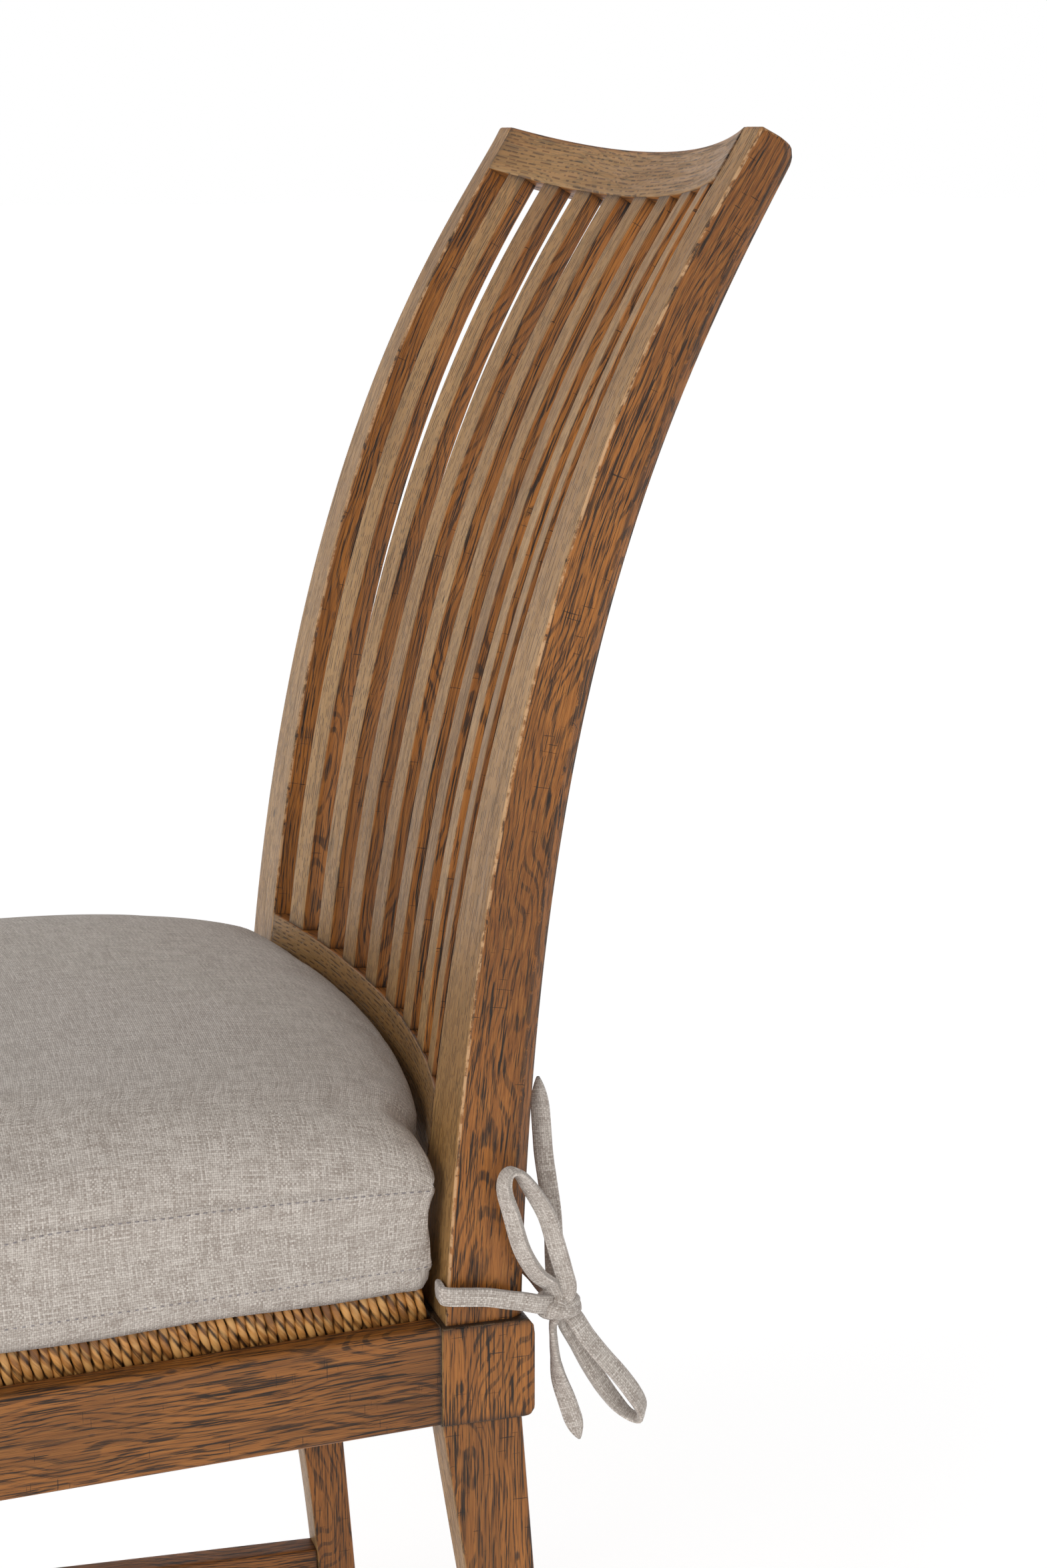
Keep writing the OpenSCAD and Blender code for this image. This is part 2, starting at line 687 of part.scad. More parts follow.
// Left ties, hand-laid from the post's outer face, front face and foot of the block:
// a strap from the cushion round the post to the knot, a bow loop and a loose tail
knot = [-7, 60, 52];
knot_r = 10;
outer_strap = [[-11, 1.1, 66], [-7, 1, 66.3], [-3, 0.6, 66.5], [0.6, 0.6, 66.5], [3, 3.2, 66.5],
               [3.4, 12, 65.5], [3, 22, 64], [3, 32, 61.5], [2, 41, 59], [0, 49, 56]];
outer_loop = [[-3, 55, 64], [0, 52, 67], [2, 46, 73], [5, 38, 87], [8, 32, 106], [10, 28, 119],
              [11, 29, 127], [11, 34, 128], [9, 42, 117], [6, 50, 103], [4, 55, 88], [1, 60, 72],
              [-2, 63, 61]];
outer_tail = [[-8, 58, 42], [-7, 58, 34], [-7, 59, 24], [-7, 61, 13], [-7, 65, 1], [-8, 69, -11],
              [-9, 72, -20]];
inner_strap = [[-57, 9, 77], [-57, 16, 76], [-57, 25, 73], [-57, 34, 69], [-54, 44, 65],
               [-46, 51, 62], [-36, 55, 59], [-26, 57, 56], [-17, 59, 54]];
inner_loop = [[-4, 67, 46], [-2, 73, 36], [-1, 81, 25], [0, 89, 15], [0, 96, 5], [-1, 101, -4],
              [-3, 101, -10], [-6, 97, -10], [-9, 91, -4], [-10, 84, 6], [-10, 77, 18], [-10, 71, 30],
              [-9, 65, 41]];
inner_tail = [[-14, 61, 60], [-16, 61, 71], [-17, 61, 84], [-17, 60, 97], [-17, 58, 111], [-17, 56, 125],
              [-17, 55, 138], [-17, 54, 152], [-17, 53, 164]];

function unit(v) = v / norm(v);
// path with its end next to the knot (both ends of a loop) drawn in to the knot's face
function at_knot(p) = knot + (knot_r + 0.1) * unit(p - knot);
function met(path, first, last) =
    [for (i = [0:len(path) - 1])
        (first && i == 0) || (last && i == len(path) - 1) ? at_knot(path[i]) : path[i]];
function along(path, i) = unit(path[min(i + 1, len(path) - 1)] - path[max(i - 1, 0)]);
// across the tape: upright on a strap, square to the bow's plane elsewhere
function across(t, strap) = strap ? unit([0, 0, 1] - t[2] * t) : unit([1, 0, 0] - t[0] * t);
function tape_ring(c, t, strap) =
    let (u = across(t, strap), v = cross(t, u))
    [for (a = [22.5:45:359]) c + tape_w / 2 * cos(a) * u + tape_t / 2 * sin(a) * v];

module tape(path, strap = false) {
    n = len(path);
    polyhedron(
        points = [for (i = [0:n - 1]) each tape_ring(path[i], along(path, i), strap)],
        faces = concat([[for (k = [0:7]) k], [for (k = [7:-1:0]) (n - 1) * 8 + k]],
                       [for (i = [0:n - 2], k = [0:7])
                           [i * 8 + k, (i + 1) * 8 + k, (i + 1) * 8 + (k + 1) % 8, i * 8 + (k + 1) % 8]]));
}
module tie(strap, loop, tail) {
    color(linen) translate([post_out, post_y, rail_z]) {
        tape(met(strap, false, true), true);
        tape(met(loop, true, true));
        tape(met(tail, true, false));
    }
}
module tie_left_outer() { tie(outer_strap, outer_loop, outer_tail); }
module tie_left_inner() { tie(inner_strap, inner_loop, inner_tail); }
module tie_right_outer() { mirror([1, 0, 0]) tie_left_outer(); }
module tie_right_inner() { mirror([1, 0, 0]) tie_left_inner(); }
module tie_knot_left() {
    color(linen) translate([post_out, post_y, rail_z] + knot) sphere(r = knot_r, $fn = 32);
}
module tie_knot_right() { mirror([1, 0, 0]) tie_knot_left(); }

// ---- drawing ---------------------------------------------------------

rear_post_left();
rear_post_right();
crest_rail();
lower_back_rail();
for (i = [1:slats]) {
    back_slat(i);
}
side_rail_left();
side_rail_right();
front_rail();
rear_rail();
front_leg_left();
front_leg_right();
side_stretcher_left();
side_stretcher_right();
cross_stretcher();
seat_bar_front();
seat_bar_rear();
seat_bar_left();
seat_bar_right();
rush_top();
rush_underside();
corner_block_front_left();
corner_block_front_right();
corner_block_rear_left();
corner_block_rear_right();
corner_screws();
cushion_foam();
cushion_top();
cushion_boxing();
cushion_base();
tie_left_outer();
tie_left_inner();
tie_right_outer();
tie_right_inner();
tie_knot_left();
tie_knot_right();
foot_glides();
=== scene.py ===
import bpy, math, random
import numpy as np
from numpy.linalg import norm
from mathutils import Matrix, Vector


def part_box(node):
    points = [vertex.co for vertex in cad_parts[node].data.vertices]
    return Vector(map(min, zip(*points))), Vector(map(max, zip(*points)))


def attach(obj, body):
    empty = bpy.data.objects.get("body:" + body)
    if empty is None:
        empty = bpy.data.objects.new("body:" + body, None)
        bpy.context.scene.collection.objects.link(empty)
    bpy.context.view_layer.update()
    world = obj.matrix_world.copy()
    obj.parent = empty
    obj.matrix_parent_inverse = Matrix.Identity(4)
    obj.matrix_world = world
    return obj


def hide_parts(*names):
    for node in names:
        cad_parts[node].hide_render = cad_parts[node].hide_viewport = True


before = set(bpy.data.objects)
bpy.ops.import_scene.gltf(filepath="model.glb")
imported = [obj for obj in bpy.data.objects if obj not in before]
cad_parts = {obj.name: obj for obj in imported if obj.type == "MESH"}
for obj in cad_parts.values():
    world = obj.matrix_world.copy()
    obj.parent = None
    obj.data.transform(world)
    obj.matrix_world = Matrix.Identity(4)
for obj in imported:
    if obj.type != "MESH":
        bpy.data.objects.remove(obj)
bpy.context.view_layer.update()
scene = bpy.context.scene
rng = random.Random(11)

# ---- places and sizes, in millimetres, as in the CAD model ------------
POST_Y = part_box("rear_post_left")[0][1] * 1000
POST_OUT, POST_IN, TOP_OUT, TOP_IN = 220.5, 169.0, 199.5, 178.5
RAIL_Z, RAIL_H, STILE_H, FOOT_Z = 395.0, 50.0, 605.0, -391.0
SWEEP, SEAT_DEPTH, FRONT_OUT = 161.0, 394.0, 250.0
FRONT_Y = POST_Y - SEAT_DEPTH
SPLAY = (FRONT_OUT - POST_OUT) / SEAT_DEPTH
LEG_DEPTH, LEG_RAKE = 40, 30
CREST_H, CREST_RISE, CREST_T = 27, 24, 18
LOWER_TOP, LOWER_H, LOWER_RISE, LOWER_T = 152.0, 46, 19, 20
SLAT_COUNT, SLAT_W, SLAT_FOOT_T, SLAT_TOP_T = 8, 20, 13.5, 8.5
TAPE_W, TAPE_T = 9.4, 3.2
STRETCHER_Z, STRETCHER_H, STRETCHER_HALF = 92.0, 28, 9
STILE_FRONT = [(0, 0), (16.1, 423.5), (135.24, 553.6), (161, 605)]
STILE_REAR = [(40, 0), (45.5, 338.8), (107.6, 468.9), (187, 605)]
LEG_FRONT = [(0, 0), (15, -110.6), (35.4, -197.5), (46, FOOT_Z)]


def bez(p, t):
    """Point at t on the cubic curve with control points p, each (depth, height)."""
    a, b, c, d = (1 - t) ** 3, 3 * (1 - t) ** 2 * t, 3 * (1 - t) * t * t, t ** 3
    return tuple(a * p[0][k] + b * p[1][k] + c * p[2][k] + d * p[3][k] for k in (0, 1))


def bez_y(p, z):
    """Depth of the curve at height z."""
    lo, hi, up = 0.0, 1.0, p[3][1] > p[0][1]
    for _ in range(30):
        m = (lo + hi) / 2
        if (bez(p, m)[1] < z) == up:
            lo = m
        else:
            hi = m
    return bez(p, lo)[0]


def lean(z):
    """Angle of the back from upright at height z."""
    z = min(z, STILE_H - 1.01)
    return math.atan((bez_y(STILE_FRONT, z + 1) - bez_y(STILE_FRONT, z - 1)) / 2)


CREST_LEAN = lean(STILE_H - 0.85 * CREST_H)
LOWER_LEAN = lean(LOWER_TOP)


def in_x(z):
    """Inner face of a post at height z."""
    return POST_IN + (TOP_IN - POST_IN) * z / STILE_H


CREST_HALF = in_x(STILE_H - 14)
LOWER_HALF = in_x(LOWER_TOP - LOWER_H / 2)


def bow(half, rise, x):
    """How far an arc of the given half width and rise stands back at x."""
    r = (half * half + rise * rise) / (2 * rise)
    return math.sqrt(r * r - x * x) - math.sqrt(r * r - half * half)


def add_object(name, data):
    ob = bpy.data.objects.new(name, data)
    scene.collection.objects.link(ob)
    return ob


# ---- camera -----------------------------------------------------------
cam = add_object("camera", bpy.data.cameras.new("camera"))
cam.location = (1.469, (-465.2 + POST_Y + 105.5) / 1000, 0.9975)
cam.rotation_euler = (math.radians(77.459), 0, math.radians(72.229))
cam.data.sensor_width = 36
cam.data.lens = 67.41
cam.data.clip_end = 50
scene.camera = cam
scene.view_settings.view_transform = "Standard"
scene.view_settings.look = "None"


# ---- mesh helpers -----------------------------------------------------
def new_mesh(name, verts, faces, mat, points=None, corners=None):
    """Make an object from millimetre vertices; points and corners are named attribute arrays."""
    me = bpy.data.meshes.new(name)
    me.from_pydata((np.asarray(verts, float) / 1000).tolist(), [], faces)
    for key, data in (points or {}).items():
        data = np.asarray(data, float)
        kind = "FLOAT_VECTOR" if data.ndim == 2 else "FLOAT"
        at = me.attributes.new(key, kind, "POINT")
        at.data.foreach_set("vector" if data.ndim == 2 else "value", data.ravel())
    for key, data in (corners or {}).items():
        at = me.attributes.new(key, "FLOAT_VECTOR", "CORNER")
        at.data.foreach_set("vector", np.asarray(data, float).ravel())
    me.polygons.foreach_set("use_smooth", [True] * len(me.polygons))
    me.materials.append(mat)
    me.update()
    ob = add_object(name, me)
    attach(ob, "root")
    return ob


def tube_faces(base, rings, n, closed=False):
    """Faces of a tube of rings of n vertices, numbered from base, with a cap at each open end."""
    out = []
    for i in range(rings if closed else rings - 1):
        a, b = base + i * n, base + (i + 1) % rings * n
        out += [(a + j, a + (j + 1) % n, b + (j + 1) % n, b + j) for j in range(n)]
    if not closed:
        out.append(tuple(base + j for j in reversed(range(n))))
        out.append(tuple(base + (rings - 1) * n + j for j in range(n)))
    return out


def flipped(faces):
    return [tuple(reversed(x)) for x in faces]


def ring2d(corners, radii, seg=3, pad=2.5):
    """Round a polygon's corners, with a loop just inside each edge so its faces shade flat."""
    out, n = [], len(corners)
    for i in range(n):
        p, c, q = (np.array(corners[(i + k) % n], float) for k in (-1, 0, 1))
        to_p, to_q = norm(p - c), norm(q - c)
        a, b = (p - c) / to_p, (q - c) / to_q
        r, half = radii[i], math.acos(max(-1, min(1, float(a @ b)))) / 2
        t = min(r / math.tan(half), 0.45 * min(to_p, to_q))
        pad_a = min(pad, 0.48 * to_p - t)
        pad_b = min(pad, 0.48 * to_q - t)
        s, e = c + a * t, c + b * t
        out.append((c + a * (t + max(pad_a, 0.01)), 0.0))
        for k in range(seg + 1):
            f = k / seg
            m = (s + e) / 2
            chord = s + (e - s) * f
            lift = (c - m) * (1 - (2 * f - 1) ** 2) * 0.41
            out.append((chord + lift, 1.0))
        out.append((c + b * (t + max(pad_b, 0.01)), 0.0))
    return out


def inset(corners, d):
    """A polygon with each edge moved in by d."""
    out, n = [], len(corners)
    for i in range(n):
        p, c, q = (np.array(corners[(i + k) % n], float) for k in (-1, 0, 1))
        u, v = (c - p) / norm(c - p), (q - c) / norm(q - c)
        n1, n2 = np.array([-u[1], u[0]]), np.array([-v[1], v[0]])
        out.append(c + d * (n1 + n2) / (1 + float(n1 @ n2)))
    return out


class Wood:
    """Collects lofted bars with rounded edges into one mesh with its grain's own coordinates."""

    def __init__(self):
        self.v, self.f, self.g, self.w, self.d, self.t = [], [], [], [], [], []
        self.off = np.array([rng.uniform(-3, 3) for _ in range(3)])

    def loft(self, place, stations, section, radii, cap=1.2, seg=3, dirt=(0, 0), marks=None, tone=1.0):
        """place(s) gives an origin and x and y axes; section(s) the counter-clockwise corners; marks
        are 1 for a corner worn light and -1 for one lined with dirt."""
        per = seg + 3
        marks = marks or [1.0] * len(radii)
        self.off = self.off + np.array([rng.uniform(0.3, 0.7) for _ in range(3)])
        s0, s1 = stations[0], stations[-1]
        inner = [s for s in stations if s0 + cap + 3 < s < s1 - cap - 3]
        curve = [(cap * (1 - math.sin(a)), cap * (1 - math.cos(a))) for a in
                 (math.pi / 2, math.pi / 3, math.pi / 6, 0)]
        steps = [(s0 + e, i) for e, i in curve] + [(s0 + cap + 2.5, 0)]
        steps += [(s, 0) for s in inner]
        steps += [(s1 - cap - 2.5, 0)] + [(s1 - e, i) for e, i in reversed(curve)]
        base, n = len(self.v), None
        for s, i in steps:
            o, ux, uy = place(s)
            poly = inset(section(s), i) if i else section(s)
            ring = ring2d(poly, [max(r - i * 0.6, 0.25) for r in radii], seg)
            n = len(ring)
            near = max(dirt[0] * (1 - (s - s0) / 5), dirt[1] * (1 - (s1 - s) / 5), 0)
            for j, (p, flag) in enumerate(ring):
                self.v.append(o + ux * p[0] + uy * p[1])
                self.g.append(self.off + np.array([p[0], p[1], s]) / 1000)
                self.w.append(1.0 if i else flag * marks[j // per])
                self.d.append(near)
                # tone is painted shade: a darkening factor for the whole piece
                self.t.append(tone)
        self.f += tube_faces(base, len(steps), n)

    def make(self, name, mat, nodes, mirror=False):
        v, f, g = np.array(self.v), self.f, np.array(self.g)
        if mirror:
            v, f, g = v * [-1, 1, 1], flipped(f), g + [0.37, 0.11, 0.53]
        ob = new_mesh(name, v, f, mat, {"grain": g, "wear": self.w, "dirt": self.d, "tone": self.t})
        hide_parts(*nodes)
        return ob


def rect(x0, x1, y0, y1):
    return [(x0, y0), (x1, y0), (x1, y1), (x0, y1)]


X, Y, Z = np.array([1.0, 0, 0]), np.array([0, 1.0, 0]), np.array([0, 0, 1.0])
SIDES = (("left", False), ("right", True))


# ---- materials --------------------------------------------------------
class Nodes:
    """A material and short calls that add nodes to its tree."""

    def __init__(self, name):
        self.mat = bpy.data.materials.new(name)
        self.mat.use_nodes = True
        self.t = self.mat.node_tree
        self.bsdf = self.t.nodes["Principled BSDF"]

    def add(self, kind, **kw):
        n = self.t.nodes.new(kind)
        for k, v in kw.items():
            setattr(n, k, v)
        return n

    def put(self, sock, value):
        if isinstance(value, bpy.types.NodeSocket):
            self.t.links.new(value, sock)
        else:
            sock.default_value = value

    def math(self, op, a, b=0.0):
        n = self.add("ShaderNodeMath", operation=op)
        self.put(n.inputs[0], a)
        self.put(n.inputs[1], b)
        return n.outputs[0]

    def mul(self, a, b):
        return self.math("MULTIPLY", a, b)

    def plus(self, a, b):
        return self.math("ADD", a, b)

    def minus(self, a, b):
        return self.math("SUBTRACT", a, b)

    def attr(self, name, out="Fac"):
        return self.add("ShaderNodeAttribute", attribute_name=name).outputs[out]

    def scale(self, vec, s):
        n = self.add("ShaderNodeVectorMath", operation="MULTIPLY")
        self.put(n.inputs[0], vec)
        n.inputs[1].default_value = s
        return n.outputs[0]

    def noise(self, vec, scale=1.0, detail=3.0, rough=0.5, distort=0.0):
        n = self.add("ShaderNodeTexNoise")
        self.put(n.inputs["Vector"], vec)
        for key, v in zip(("Scale", "Detail", "Roughness", "Distortion"), (scale, detail, rough, distort)):
            n.inputs[key].default_value = v
        return n.outputs["Fac"]

    def ramp(self, fac, lo, hi, a=0.0, b=1.0):
        """Smooth step from a where fac is lo to b where it is hi."""
        n = self.add("ShaderNodeMapRange", interpolation_type="SMOOTHSTEP")
        self.put(n.inputs[0], fac)
        for i, v in zip((1, 2, 3, 4), (lo, hi, a, b)):
            self.put(n.inputs[i], v)
        return n.outputs[0]

    def mix(self, fac, a, b, mode="MIX"):
        n = self.add("ShaderNodeMix", data_type="RGBA", blend_type=mode)
        self.put(n.inputs[0], fac)
        self.put(n.inputs[6], a if isinstance(a, bpy.types.NodeSocket) else (*a, 1))
        self.put(n.inputs[7], b if isinstance(b, bpy.types.NodeSocket) else (*b, 1))
        return n.outputs[2]

    def xyz(self, vec):
        n = self.add("ShaderNodeSeparateXYZ")
        self.put(n.inputs[0], vec)
        return n.outputs

    def vec(self, x, y, z):
        n = self.add("ShaderNodeCombineXYZ")
        for i, v in enumerate((x, y, z)):
            self.put(n.inputs[i], v)
        return n.outputs[0]

    def finish(self, color, rough, height=None, strength=0.5, distance=0.001, spec=0.5):
        self.put(self.bsdf.inputs["Base Color"], color)
        self.put(self.bsdf.inputs["Roughness"], rough)
        self.bsdf.inputs["Specular IOR Level"].default_value = spec
        if height is not None:
            b = self.add("ShaderNodeBump")
            b.inputs["Strength"].default_value = strength
            b.inputs["Distance"].default_value = distance
            self.put(b.inputs["Height"], height)
            self.put(self.bsdf.inputs["Normal"], b.outputs[0])
        return self.mat


def lin(*rgb):
    """Linear colour of an 8-bit sRGB one."""
    return tuple((c / 255 / 12.92) if c <= 10 else ((c / 255 + 0.055) / 1.055) ** 2.4 for c in rgb)


def oak_material():
    n = Nodes("oak")
    g = n.attr("grain", "Vector")
    c = n.xyz(g)
    # slow tone, dark figure stretched along the bar, wavy growth lines, open pores and fine fibres
    slow = n.noise(n.scale(g, (14, 14, 5)), detail=2)
    figure = n.noise(n.scale(g, (380, 380, 17)), detail=4, rough=0.62, distort=0.8)
    broad = n.noise(n.scale(g, (48, 48, 6)), detail=3, rough=0.6, distort=1.0)
    bend = n.noise(n.scale(g, (20, 20, 6)), detail=2)
    q = n.plus(n.mul(c[1], 290.0), n.mul(c[0], 170.0))
    q = n.plus(q, n.mul(bend, 24.0))
    lines = n.math("SINE", n.mul(q, 2 * math.pi))
    streak = n.mul(n.ramp(figure, 0.45, 0.64), n.ramp(broad, 0.40, 0.56))
    pores = n.noise(n.scale(g, (1300, 1300, 48)), detail=2, rough=0.5)
    cracks = n.noise(n.scale(g, (900, 900, 24)), detail=2, rough=0.5)
    fibre = n.noise(n.scale(g, (2900, 2900, 36)), detail=3, rough=0.6)
    crowd = n.plus(n.mul(streak, 0.12), n.mul(n.ramp(lines, 0.2, 1.0), 0.035))
    pore_in = n.ramp(n.plus(pores, crowd), 0.61, 0.66)
    crack_in = n.ramp(n.plus(cracks, n.mul(streak, 0.08)), 0.64, 0.67)
    base = n.mix(n.ramp(slow, 0.3, 0.7), lin(150, 96, 47), lin(184, 122, 63))
    base = n.mix(n.ramp(figure, 0.40, 0.60, 0, 0.3), base, lin(104, 63, 32))
    base = n.mix(n.ramp(broad, 0.58, 0.36, 0, 0.34), base, lin(96, 58, 30))
    growth = n.mul(n.ramp(lines, 0.30, 0.80), n.ramp(pores, 0.34, 0.50))
    base = n.mix(n.mul(growth, 0.70), base, lin(52, 32, 18))
    base = n.mix(n.mul(streak, 0.16), base, lin(48, 29, 17))
    base = n.mix(n.ramp(fibre, 0.48, 0.68, 0, 0.34), base, lin(200, 148, 90))
    base = n.mix(n.ramp(fibre, 0.50, 0.34, 0, 0.42), base, lin(70, 43, 24))
    base = n.mix(n.mul(pore_in, 0.8), base, lin(36, 23, 15))
    base = n.mix(n.mul(crack_in, 0.9), base, lin(24, 17, 12))
    # scratches across the grain
    across = n.vec(n.plus(n.mul(c[0], 60.0), n.mul(c[2], 45.0)),
                   n.mul(c[1], 60.0),
                   n.plus(n.mul(c[2], 1100.0), n.mul(c[0], -1500.0)))
    scratch = n.ramp(n.noise(across, detail=1), 0.735, 0.76)
    base = n.mix(n.mul(scratch, 0.8), base, lin(34, 23, 16))
    base = n.mix(1.0, base, (0.88, 0.76, 0.47), "MULTIPLY")
    # painted sheen: the faces turned to the front are painted paler and greyer, as where the light's sheen
    # falls on them, with dashes in rows along the bar
    normal = n.add("ShaderNodeNewGeometry").outputs["Normal"]
    front = n.ramp(n.mul(n.xyz(normal)[1], -1.0), 0.55, 0.95, 0, 0.8)
    row = n.plus(n.mul(n.plus(c[0], c[1]), 440.0), n.mul(bend, 5.0))
    dash = n.noise(n.vec(n.mul(n.math("FLOOR", row), 3.7), 0.0, n.mul(c[2], 150.0)), detail=1)
    gap = n.ramp(n.math("ABSOLUTE", n.minus(n.math("FRACT", row), 0.5)), 0.10, 0.26, 1, 0)
    dash_in = n.mul(gap, n.ramp(dash, 0.47, 0.54))
    painted_sheen = n.mix(n.ramp(slow, 0.3, 0.7), lin(156, 124, 88), lin(184, 152, 114))
    painted_sheen = n.mix(n.ramp(lines, 0.3, 1.0, 0, 0.15), painted_sheen, lin(116, 86, 58))
    painted_sheen = n.mix(n.mul(streak, 0.30), painted_sheen, lin(92, 66, 44))
    painted_sheen = n.mix(n.mul(dash_in, 0.75), painted_sheen, lin(64, 45, 32))
    painted_sheen = n.mix(1.0, painted_sheen, (0.95, 0.86, 0.62), "MULTIPLY")
    # the front faces take the painted sheen
    base = n.mix(front, base, painted_sheen)
    # painted shade: the tone attribute darkens whole pieces, the seat rails and stretchers most, then the
    # front legs, the rear legs and the bowed back rails
    base = n.mix(1.0, base, n.attr("tone"), "MULTIPLY")
    # small dents, worn edges and dirt in the joints
    vor = n.add("ShaderNodeTexVoronoi")
    n.put(vor.inputs["Vector"], n.scale(g, (60, 60, 26)))
    vor.inputs["Scale"].default_value = 1.0
    dent = n.mul(n.ramp(vor.outputs["Distance"], 0.04, 0.09, 1, 0), n.ramp(slow, 0.5, 0.6))
    base = n.mix(n.mul(dent, 0.75), base, lin(36, 24, 16))
    wear = n.attr("wear")
    chips = n.noise(n.scale(g, (140, 140, 95)), detail=4, rough=0.7)
    rub = n.mul(n.ramp(wear, 0.8, 1.0), n.ramp(chips, 0.46, 0.56, 0.1, 0.72))
    base = n.mix(rub, base, lin(206, 164, 120))
    notch = n.mul(n.ramp(wear, 0.5, 0.95), n.ramp(chips, 0.40, 0.36))
    notch = n.math("MAXIMUM", notch, n.mul(n.ramp(wear, -0.5, -0.95), n.ramp(chips, 0.58, 0.48, 0, 0.8)))
    base = n.mix(n.mul(notch, 0.8), base, lin(40, 30, 24))
    dirt = n.math("POWER", n.attr("dirt"), 1.6)
    dirt = n.mul(dirt, n.ramp(chips, 0.2, 0.6, 0.8, 1.0))
    base = n.mix(n.mul(dirt, 0.95), base, lin(20, 14, 10))
    high = n.minus(n.mul(fibre, 0.3), n.mul(pore_in, 0.8))
    high = n.minus(high, n.mul(n.math("MAXIMUM", crack_in, scratch), 1.2))
    high = n.minus(high, n.mul(dash_in, n.mul(front, 0.5)))
    high = n.minus(high, n.mul(dent, 2.0))
    high = n.minus(high, n.mul(notch, 1.5))
    rough = n.ramp(figure, 0.3, 0.7, 0.38, 0.54)
    return n.finish(base, rough, high, 0.6, 0.0004, 0.38)


def linen_material():
    n = Nodes("linen")
    c = n.xyz(n.attr("weave", "Vector"))
    wob = n.noise(n.attr("weave", "Vector"), scale=90, detail=2)
    pitch = 0.00105
    cell, hump = [], []
    for k in (0, 1):
        at = n.plus(n.math("DIVIDE", c[k], pitch), n.mul(wob, 0.9))
        cell.append(n.math("FLOOR", at))
        hump.append(n.math("SINE", n.mul(n.math("FRACT", at), math.pi)))
    par = n.mul(n.math("FRACT", n.mul(n.plus(cell[0], cell[1]), 0.5)), 2.0)
    # threads differ in tone and thickness along their length
    thread, tones = [], []
    for k, spread, place in ((0, 7.31, 0.0), (1, 5.17, 9.0)):
        thread.append(n.mul(n.math("POWER", hump[k], 0.6), n.plus(0.45, n.mul(hump[1 - k], 0.55))))
        tones.append(n.noise(n.vec(n.mul(cell[k], spread), n.mul(c[1 - k], 70.0), place), detail=2))
    high, tone = (n.plus(n.mul(x[1], par), n.mul(x[0], n.minus(1.0, par))) for x in (thread, tones))
    big = n.noise(n.attr("weave", "Vector"), scale=26, detail=3)
    fuzz = n.noise(n.attr("weave", "Vector"), scale=900, detail=2)
    tone = n.plus(n.mul(tone, 0.58), n.mul(big, 0.06))
    tone = n.plus(tone, n.mul(fuzz, 0.36))
    base = n.mix(n.ramp(tone, 0.35, 0.65), lin(160, 148, 138), lin(218, 209, 200))
    # painted shade in the hollows of the weave, darker where the threads lie low
    base = n.mix(n.ramp(high, 0.05, 0.5, 0.75, 0), base, lin(112, 101, 93))
    n.bsdf.inputs["Sheen Weight"].default_value = 0.25
    n.bsdf.inputs["Sheen Roughness"].default_value = 0.5
    return n.finish(base, 0.9, high, 0.6, 0.0004, 0.2)


def rush_material():
    n = Nodes("rush")
    c = n.attr("strand", "Vector")
    fib = n.noise(n.scale(c, (1.0, 420, 60)), detail=3, rough=0.6)
    slow = n.noise(n.scale(c, (3.0, 3, 30)), detail=3)
    base = n.mix(n.ramp(slow, 0.3, 0.7), lin(156, 99, 42), lin(216, 152, 80))
    base = n.mix(n.ramp(fib, 0.45, 0.65, 0, 0.7), base, lin(228, 178, 110))
    base = n.mix(n.ramp(fib, 0.5, 0.36, 0, 0.7), base, lin(92, 54, 24))
    # painted shade in the grooves between a cord's twisted strands and on the sides that face the next cords
    painted_groove_shade = n.ramp(n.attr("painted_groove_shade"), 0.2, 0.9)
    base = n.mix(n.mul(painted_groove_shade, 0.94), base, lin(34, 19, 9))
    return n.finish(base, 0.42, fib, 0.5, 0.0005, 0.5)


def plain_wood_material():
    n = Nodes("pale_wood")
    g = n.add("ShaderNodeTexCoord").outputs["Object"]
    grain = n.noise(n.scale(g, (30, 30, 400)), detail=4, rough=0.6)
    pores = n.noise(n.scale(g, (90, 90, 1500)), detail=2)
    base = n.mix(n.ramp(grain, 0.35, 0.65), lin(178, 142, 100), lin(206, 172, 126))
    base = n.mix(n.ramp(pores, 0.56, 0.66, 0, 0.6), base, lin(132, 98, 62))
    return n.finish(base, 0.7, grain, 0.3, 0.0004, 0.3)


def small_material(name, a, b, rough, metal=0.0, scale=400):
    n = Nodes(name)
    g = n.add("ShaderNodeTexCoord").outputs["Object"]
    t = n.noise(g, scale=scale, detail=4)
    n.bsdf.inputs["Metallic"].default_value = metal
    base = n.mix(n.ramp(t, 0.35, 0.65), a, b)
    return n.finish(base, n.ramp(t, 0.3, 0.7, rough - 0.08, rough + 0.08), t, 0.2, 0.0003)


OAK = oak_material()
LINEN = linen_material()
RUSH = rush_material()
PALE = plain_wood_material()
STEEL = small_material("screw_steel", lin(120, 116, 108), lin(170, 166, 158), 0.38, 1.0)
NYLON = small_material("glide_plastic", lin(34, 31, 28), lin(48, 44, 40), 0.55)
THREAD = small_material("stitch_thread", lin(118, 112, 114), lin(156, 150, 150), 0.85, 0.0, 900)


# ---- ties -------------------------------------------------------------
def between(a, b, c, d, t):
    """Catmull-Rom point at t from b to c."""
    return 0.5 * (2 * b + (c - a) * t + (2 * a - 5 * b + 4 * c - d) * t * t
                  + (3 * b - a - 3 * c + d) * t ** 3)


